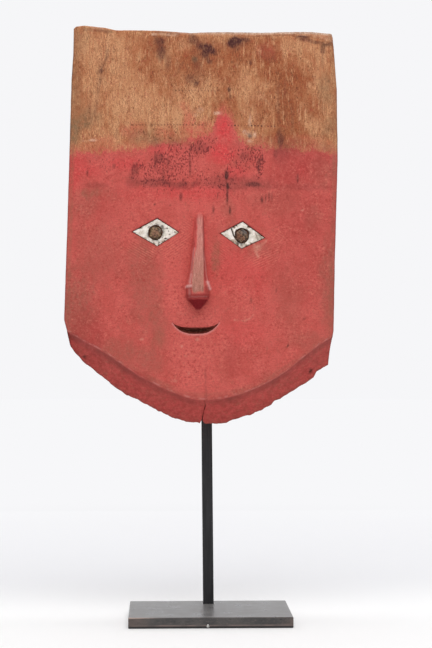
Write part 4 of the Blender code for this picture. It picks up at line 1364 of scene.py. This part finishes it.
def eye_outline(side):
    """Ways out from the pupil's middle, and how far the shell's hole and its edge are on each."""
    eye = EYES[side]
    middle_x, middle_z = eye["pupil"]
    corners = [(x - middle_x, z - middle_z) for x, z in eye["corners"]]
    turns = np.sort(np.concatenate([
        np.linspace(-math.pi, math.pi, SHELL_TURNS, endpoint=False),
        [math.atan2(z, x) for x, z in corners],
    ]))
    way_x, way_z = np.cos(turns), np.sin(turns)
    reach = np.full(len(turns), np.inf)
    for (x0, z0), (x1, z1) in zip(corners, corners[1:] + corners[:1]):
        out_x, out_z = z0 - z1, x1 - x0
        facing = way_x * out_x + way_z * out_z
        edge = (x0 * out_x + z0 * out_z) / np.where(facing > 1e-6, facing, np.nan)
        reach = np.fmin(reach, edge)
    hole_x, hole_z = (radius + GAP for radius in eye["radii"])
    hole = 1 / np.hypot(way_x / hole_x, way_z / hole_z)
    return turns, way_x, way_z, hole, reach


def make_shell(side, material):
    """A worn plate of shell: flaked along its edge, a little domed, split across on the right."""
    turns, way_x, way_z, hole, reach = eye_outline(side)
    seed = SHELL_SEEDS[side]
    hole = hole + 0.9 * np.maximum(noise(2.2 * way_x + 9, 2.2 * way_z + 9, seed + 6), 0)
    chipped = np.maximum(noise(turns * 6, turns * 0, seed, 4) - 0.05, 0)
    reach = reach - 0.9 * chipped - 0.12 * (1 + noise(turns * 14, turns * 0, seed + 1))

    # The face of the plate, as rings from the hole out to the edge.
    radius = lerp(hole, reach, np.linspace(0, 1, SHELL_RINGS)[:, None])
    x, z = radius * way_x, radius * way_z
    to_edge = reach - radius
    flake = chipped * (1 - ease(to_edge, 0.2, 2.2)) * 1.6
    pitted = np.maximum(noise(x / 2.2, z / 2.2, seed + 2) - 0.25, 0) * 0.8
    relief = 0.18 * noise(x / 4, z / 4, seed + 3) + 0.21 * (1 - ease(to_edge, 0, 0.8))
    crack = sum(deep * near_line(x, z, line, 2 * half) for line, half, deep in SHELL_CRACKS[side])
    dots = spots(x, z, SHELL_DOTS[side], seed + 4, 0.25)
    top = SHELL_RECESS + np.maximum(relief, -0.1) + flake + pitted * 0.6 + 1.1 * crack + 0.4 * dots
    rings = [np.column_stack([x[i], top[i], z[i]]) for i in range(SHELL_RINGS)]
    bottom = np.full(len(turns), SHELL_RECESS + SHELL_THICKNESS)
    rings += [np.column_stack([x[i], bottom, z[i]]) for i in (-1, 0)]
    count = len(turns)
    numbers = np.arange(len(rings) * count).reshape(len(rings), count)
    following = np.roll(numbers, -1, 1)
    corners = [numbers, following, np.roll(following, -1, 0), np.roll(numbers, -1, 0)]
    faces = np.stack(corners, -1).reshape(-1, 4).tolist()

    dirt = 1 - ease(radius - hole, 0.1, 2.3)
    dirt *= ease(noise(x / 2.4, z / 2.4, seed + 7), -0.1, 0.4)
    masks = {
        "lost": (np.clip(flake / 0.5 + pitted, 0, 1), 1),
        "crack": (np.maximum.reduce([crack, dots, 0.75 * dirt]), 0),
        "stain": (spots(x, z, SHELL_STAINS[side], seed + 5), 0),
    }
    masks = {
        name: np.concatenate([values.ravel(), np.full(2 * count, below)])
        for name, (values, below) in masks.items()
    }
    piece = add_mesh(f"{side}_eye_inlay", place_in_eye(side, np.vstack(rings)), faces, masks)
    face_out(piece)
    hand_over(piece, [f"{side}_eye_shell"], material, sharp=60)


def place_in_eye(side, points):
    """Points in the eye's frame, as they lie in the whole object's."""
    frame = np.array(eye_frame(side))
    return points @ frame[:3, :3].T + frame[:3, 3]


def face_out(piece):
    """Turns all faces of a closed mesh outwards."""
    bm = bmesh.new()
    bm.from_mesh(piece.data)
    bmesh.ops.recalc_face_normals(bm, faces=bm.faces)
    bm.to_mesh(piece.data)
    bm.free()


def make_pupil(side, material):
    """A lump of dark resin, crusted and a little domed."""
    wide, high = EYES[side]["radii"]
    seed = PUPIL_SEEDS[side]
    turns = np.linspace(0, 2 * math.pi, PUPIL_TURNS, endpoint=False)
    way_x, way_z = np.cos(turns), np.sin(turns)
    uneven = 1 - 0.075 * (1 + noise(1.7 * way_x + 9, 1.7 * way_z + 9, seed))
    uneven -= 0.06 * (1 + noise(5 * way_x + 9, 5 * way_z + 9, seed + 4))
    rings = []
    for ring in range(1, PUPIL_RINGS + 1):
        share = math.sin(math.pi / 2 * ring / PUPIL_RINGS)
        x, z = wide * share * uneven * way_x, high * share * uneven * way_z
        crust = 0.35 * noise(x / 1.6, z / 1.6, seed + 1, 4) + 0.3 * noise(x / 4, z / 4, seed + 2)
        y = PUPIL_RECESS + 0.9 * share**4 + crust * (1 - share**6)
        rings.append(np.column_stack([x, y, z]))
    bottom = SHELL_RECESS + SHELL_THICKNESS
    rings.append(np.column_stack([x, np.full(len(turns), bottom), z]))
    points = np.vstack([[0, PUPIL_RECESS, 0]] + rings + [[0, bottom, 0]])
    numbers = 1 + np.arange(len(rings) * len(turns)).reshape(len(rings), len(turns))
    following = np.roll(numbers, -1, 1)
    faces = [[0, int(b), int(a)] for a, b in zip(numbers[0], following[0])]
    sides = np.stack([numbers[:-1], following[:-1], following[1:], numbers[1:]], -1)
    faces += sides.reshape(-1, 4).tolist()
    faces += [[len(points) - 1, int(a), int(b)] for a, b in zip(numbers[-1], following[-1])]
    x, z = points[:, 0], points[:, 2]
    masks = {name: spots(x, z, marks[side], seed + 3) for name, marks in PUPIL_MARKS.items()}
    masks["ring"] = PUPIL_RING[side] * ease(np.hypot(x / wide, z / high), 0.62, 0.95)
    piece = add_mesh(f"{side}_eye_resin", place_in_eye(side, points), faces, masks)
    face_out(piece)
    hand_over(piece, [f"{side}_eye_pupil"], material, sharp=60)


def shell_material():
    look = Look("white_shell", Specular_IOR_Level=0.4)
    fine = look.noise(1.1, 3, 0.6)
    colour = look.coats(
        SHELL_DULL,
        (look.spread(look.noise(3, 4, 0.6), 0.38, 0.6), SHELL_CLEAN),
        (look.spread(fine, 0.58, 0.74, 0, 0.6), SHELL_GRAIN),
        (look.patchy("stain", fine, 0.4, 1.1), SHELL_STAINED),
        (look.times(look.mask("lost"), 0.8), SHELL_FLAKED),
        (look.mask("crack"), SHELL_CRACKED),
    )
    look.shade(Base_Color=colour, Roughness=look.spread(fine, 0.3, 0.7, 0.4, 0.7))
    look.bump(fine, 0.2, 0.6)
    return look.material


def resin_material(name, dark, light, core):
    look = Look(name, Specular_IOR_Level=0.3)
    crumbs = look.noise(1.9, 4, 0.65)
    grains = look.noise(1.3, 3, 0.6)
    colour = look.coats(
        dark,
        (look.spread(crumbs, 0.42, 0.58), light),
        (look.patchy("core", crumbs, 0.3, 0.9), core),
        (look.patchy("ring", grains, 0, 0.8), dark),
        (look.patchy("cool", crumbs, 0.5, 1), RESIN_COOL),
        (look.patchy("burnt", grains, 0.4, 1.2), RESIN_BURNT),
        (look.spread(grains, 0.52, 0.64, 0, 0.75), RESIN_GRAIN),
        (look.spread(grains, 0.42, 0.32, 0, 0.6), light),
    )
    look.shade(Base_Color=colour, Roughness=look.spread(crumbs, 0.3, 0.7, 0.5, 0.8))
    look.bump(crumbs, 0.4, 0.7)
    return look.material


def plate_material():
    """Blackened steel: the top painted lighter than the front as painted light, with rubbed
    streaks, and browner at the front's ends; painted highlights low on the front, on its upper edge
    and round the rod's foot, and a painted contact shadow along its foot.
    """
    look = Look("base_steel", Specular_IOR_Level=0.5)
    across, along, up = look.split_place()
    mottle = look.noise((12, 9, 6), 4, 0.6)
    rubbed = look.noise((20, 14, 5), 5, 0.6)
    fades = PLATE_FADES
    front = look.spread(along, *fades["front"])
    ends = look.spread(across, *fades["right_end"], 0, 0.7)
    ends = look.math("ADD", look.spread(across, *fades["left_end"]), ends)
    side = look.coats(
        PLATE_SIDE_DARK,
        (look.spread(mottle, 0.35, 0.65), PLATE_SIDE_LIGHT),
        (look.patchy(ends, mottle, 0.1, 0.6), PLATE_ENDS),
        (look.spread(look.noise((2.2, 1.4, 0.9), 3, 0.6), 0.55, 0.72, 0, 0.5), PLATE_SPECKS),
    )
    broken = look.spread(look.noise((16, 16, 60)), 0.35, 0.6, 0.3, 1)
    bare = look.times(look.spread(up, *fades["bare_foot"]), look.spread(up, *fades["bare_top"]))
    rim = look.times(look.spread(up, *fades["rim_foot"]), look.spread(along, *fades["rim_front"]))
    left = look.math("ADD", across, look.times(mottle, 0.04))
    left = look.spread(left, *fades["rim_left"], 0.05, 0.8)
    foot = [look.spread(along, *fades[side]) for side in ("rod_front", "rod_back")]
    aside = look.spread(look.math("ABSOLUTE", across), *fades["rod_side"])
    foot = look.times(look.times(*foot), aside)
    colour = look.coats(
        PLATE_TOP_DARK,
        (look.spread(rubbed, 0.3, 0.7), PLATE_TOP_LIGHT),
        # Painted light: the front is much darker than the top.
        (front, side),
        # A painted highlight line low on the front, and a painted contact shadow along its foot.
        (look.times(bare, broken), PLATE_LOW_HIGHLIGHT),
        (look.times(look.spread(up, *fades["under_top"]), front), PLATE_CONTACT_SHADOW),
        # Painted highlights along the front's upper edge and round the rod's foot.
        (look.times(rim, left), PLATE_RIM_HIGHLIGHT),
        (look.times(foot, 0.7), ROD_FOOT_HIGHLIGHT),
    )
    look.shade(Base_Color=colour, Roughness=look.spread(rubbed, 0.3, 0.7, 0.26, 0.42))
    look.bump(rubbed, 0.1, 0.5)
    return look.material


def rod_material():
    """The rod's blacker steel, with a few small scuffs."""
    look = Look("rod_steel", Specular_IOR_Level=0.3)
    drawn = look.noise((1.2, 1.2, 40), 4, 0.6)
    scuffs = look.spread(look.noise((1.6, 1.6, 3), 3, 0.6), 0.66, 0.76, 0, 0.5)
    colour = look.mix(look.spread(drawn, 0.35, 0.65), ROD_DARK, ROD_LIGHT)
    colour = look.mix(scuffs, colour, ROD_SCUFFED)
    look.shade(Base_Color=colour, Roughness=look.spread(drawn, 0.3, 0.7, 0.45, 0.6))
    look.bump(drawn, 0.05, 0.4)
    return look.material


def bright_material():
    look = Look("bright_steel", Metallic=1)
    fine = look.noise(0.5)
    colour = look.mix(look.spread(fine, 0.3, 0.7), BRIGHT_DULL, BRIGHT_CLEAN)
    look.shade(Base_Color=colour, Roughness=look.spread(fine, 0.3, 0.7, 0.25, 0.45))
    return look.material


def dress_stand(nodes):
    bright = bright_material()
    finishes = {
        "base_plate": plate_material(), "stand_rod": rod_material(), "upper_screw": bright,
        "lower_screw": bright, "base_pin": bright,
    }
    for node, material in finishes.items():
        nodes[node].data.materials.clear()
        nodes[node].data.materials.append(material)


def add_setting(name, mesh, look, unseen_by):
    """One piece of the setting. It isn't part of the object, and some rays pass through it."""
    mesh.materials.append(look.material)
    piece = bpy.data.objects.new(name, mesh)
    bpy.context.scene.collection.objects.link(piece)
    for rays in unseen_by:
        setattr(piece, f"visible_{rays}", False)


def ball(name, radius):
    bm = bmesh.new()
    bmesh.ops.create_icosphere(bm, subdivisions=4, radius=radius)
    mesh = bpy.data.meshes.new(name)
    bm.to_mesh(mesh)
    bm.free()
    return mesh


def sheet(name, corners):
    mesh = bpy.data.meshes.new(name)
    mesh.from_pydata(corners, [], [tuple(range(len(corners)))])
    return mesh


def upright(half_width, y, height):
    """The corners of a sheet that stands on the floor, square to the view."""
    return [
        (-half_width, y, 0), (half_width, y, 0), (half_width, y, height), (-half_width, y, height),
    ]


def make_setting():
    """A paper floor that fades into a pale surround, and a board behind that only gives light."""
    look = Look("floor_paper", Roughness=0.9, Specular_IOR_Level=0.1)
    across, along, _ = look.split_place()
    far = look.spread(look.length(across, along), FADE_START, FADE_END)
    # Painted shade: the floor is darker just behind the object.
    colour = look.mix(look.spread(along, 0, 0.3), FLOOR_NEAR, FLOOR_SHADED_BEHIND)
    look.shade(Base_Color=look.mix(far, colour, (0, 0, 0)))
    look.shade(Emission_Color=look.mix(far, PAPER_GLOW, SURROUND), Emission_Strength=1)
    reach = SETTING_RADIUS
    corners = [(-reach, -reach, 0), (reach, -reach, 0), (reach, reach, 0), (-reach, reach, 0)]
    add_setting("floor", sheet("floor", corners), look, ["shadow"])

    look = Look("surround_paper", Roughness=1, Specular_IOR_Level=0)
    look.shade(Base_Color=(0, 0, 0, 1), Emission_Color=linear(SURROUND), Emission_Strength=1)
    unseen_by = ["diffuse", "glossy", "transmission", "shadow"]
    add_setting("surround", ball("surround", reach), look, unseen_by)

    look = Look("board_paper", Roughness=0.9, Specular_IOR_Level=0.1)
    look.shade(Base_Color=linear(BOARD_COLOUR))
    look.shade(Emission_Color=linear(PAPER_GLOW), Emission_Strength=1)
    board = sheet("back_board", upright(*BOARD_SHAPE))
    add_setting("back_board", board, look, ["camera", "shadow"])


def add_light(name, place, target, size, power):
    light = bpy.data.lights.new(name, "AREA")
    light.shape = "RECTANGLE"
    light.size, light.size_y = size
    light.energy = power
    lamp = bpy.data.objects.new(name, light)
    lamp.visible_camera = False
    bpy.context.scene.collection.objects.link(lamp)
    lamp.location = place
    lamp.rotation_euler = (Vector(target) - Vector(place)).to_track_quat("-Z", "Y").to_euler()


def light_scene():
    scene = bpy.context.scene
    scene.view_settings.view_transform = "Standard"
    world = bpy.data.worlds.new("studio")
    scene.world = world
    world.use_nodes = True
    background = world.node_tree.nodes["Background"]
    background.inputs["Color"].default_value = WORLD_COLOUR
    background.inputs["Strength"].default_value = WORLD_STRENGTH
    for name, how in LIGHTS.items():
        add_light(name, *how)


def add_camera():
    data = bpy.data.cameras.new("camera")
    data.lens = CAMERA_LENS
    data.sensor_width = CAMERA_SENSOR
    camera = bpy.data.objects.new("camera", data)
    bpy.context.scene.collection.objects.link(camera)
    forward = Vector((
        math.sin(CAMERA_YAW) * math.cos(CAMERA_PITCH),
        math.cos(CAMERA_YAW) * math.cos(CAMERA_PITCH),
        math.sin(CAMERA_PITCH),
    ))
    camera.location = CAMERA_PLACE
    camera.rotation_euler = forward.to_track_quat("-Z", "Y").to_euler()
    bpy.context.scene.camera = camera


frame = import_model()
add_camera()
light_scene()
make_setting()
make_mask()
SHELL = shell_material()
for eye_side, resin_colours in RESIN_COLOURS.items():
    make_shell(eye_side, SHELL)
    make_pupil(eye_side, resin_material(f"{eye_side}_resin", *resin_colours))
dress_stand(frame["nodes"])
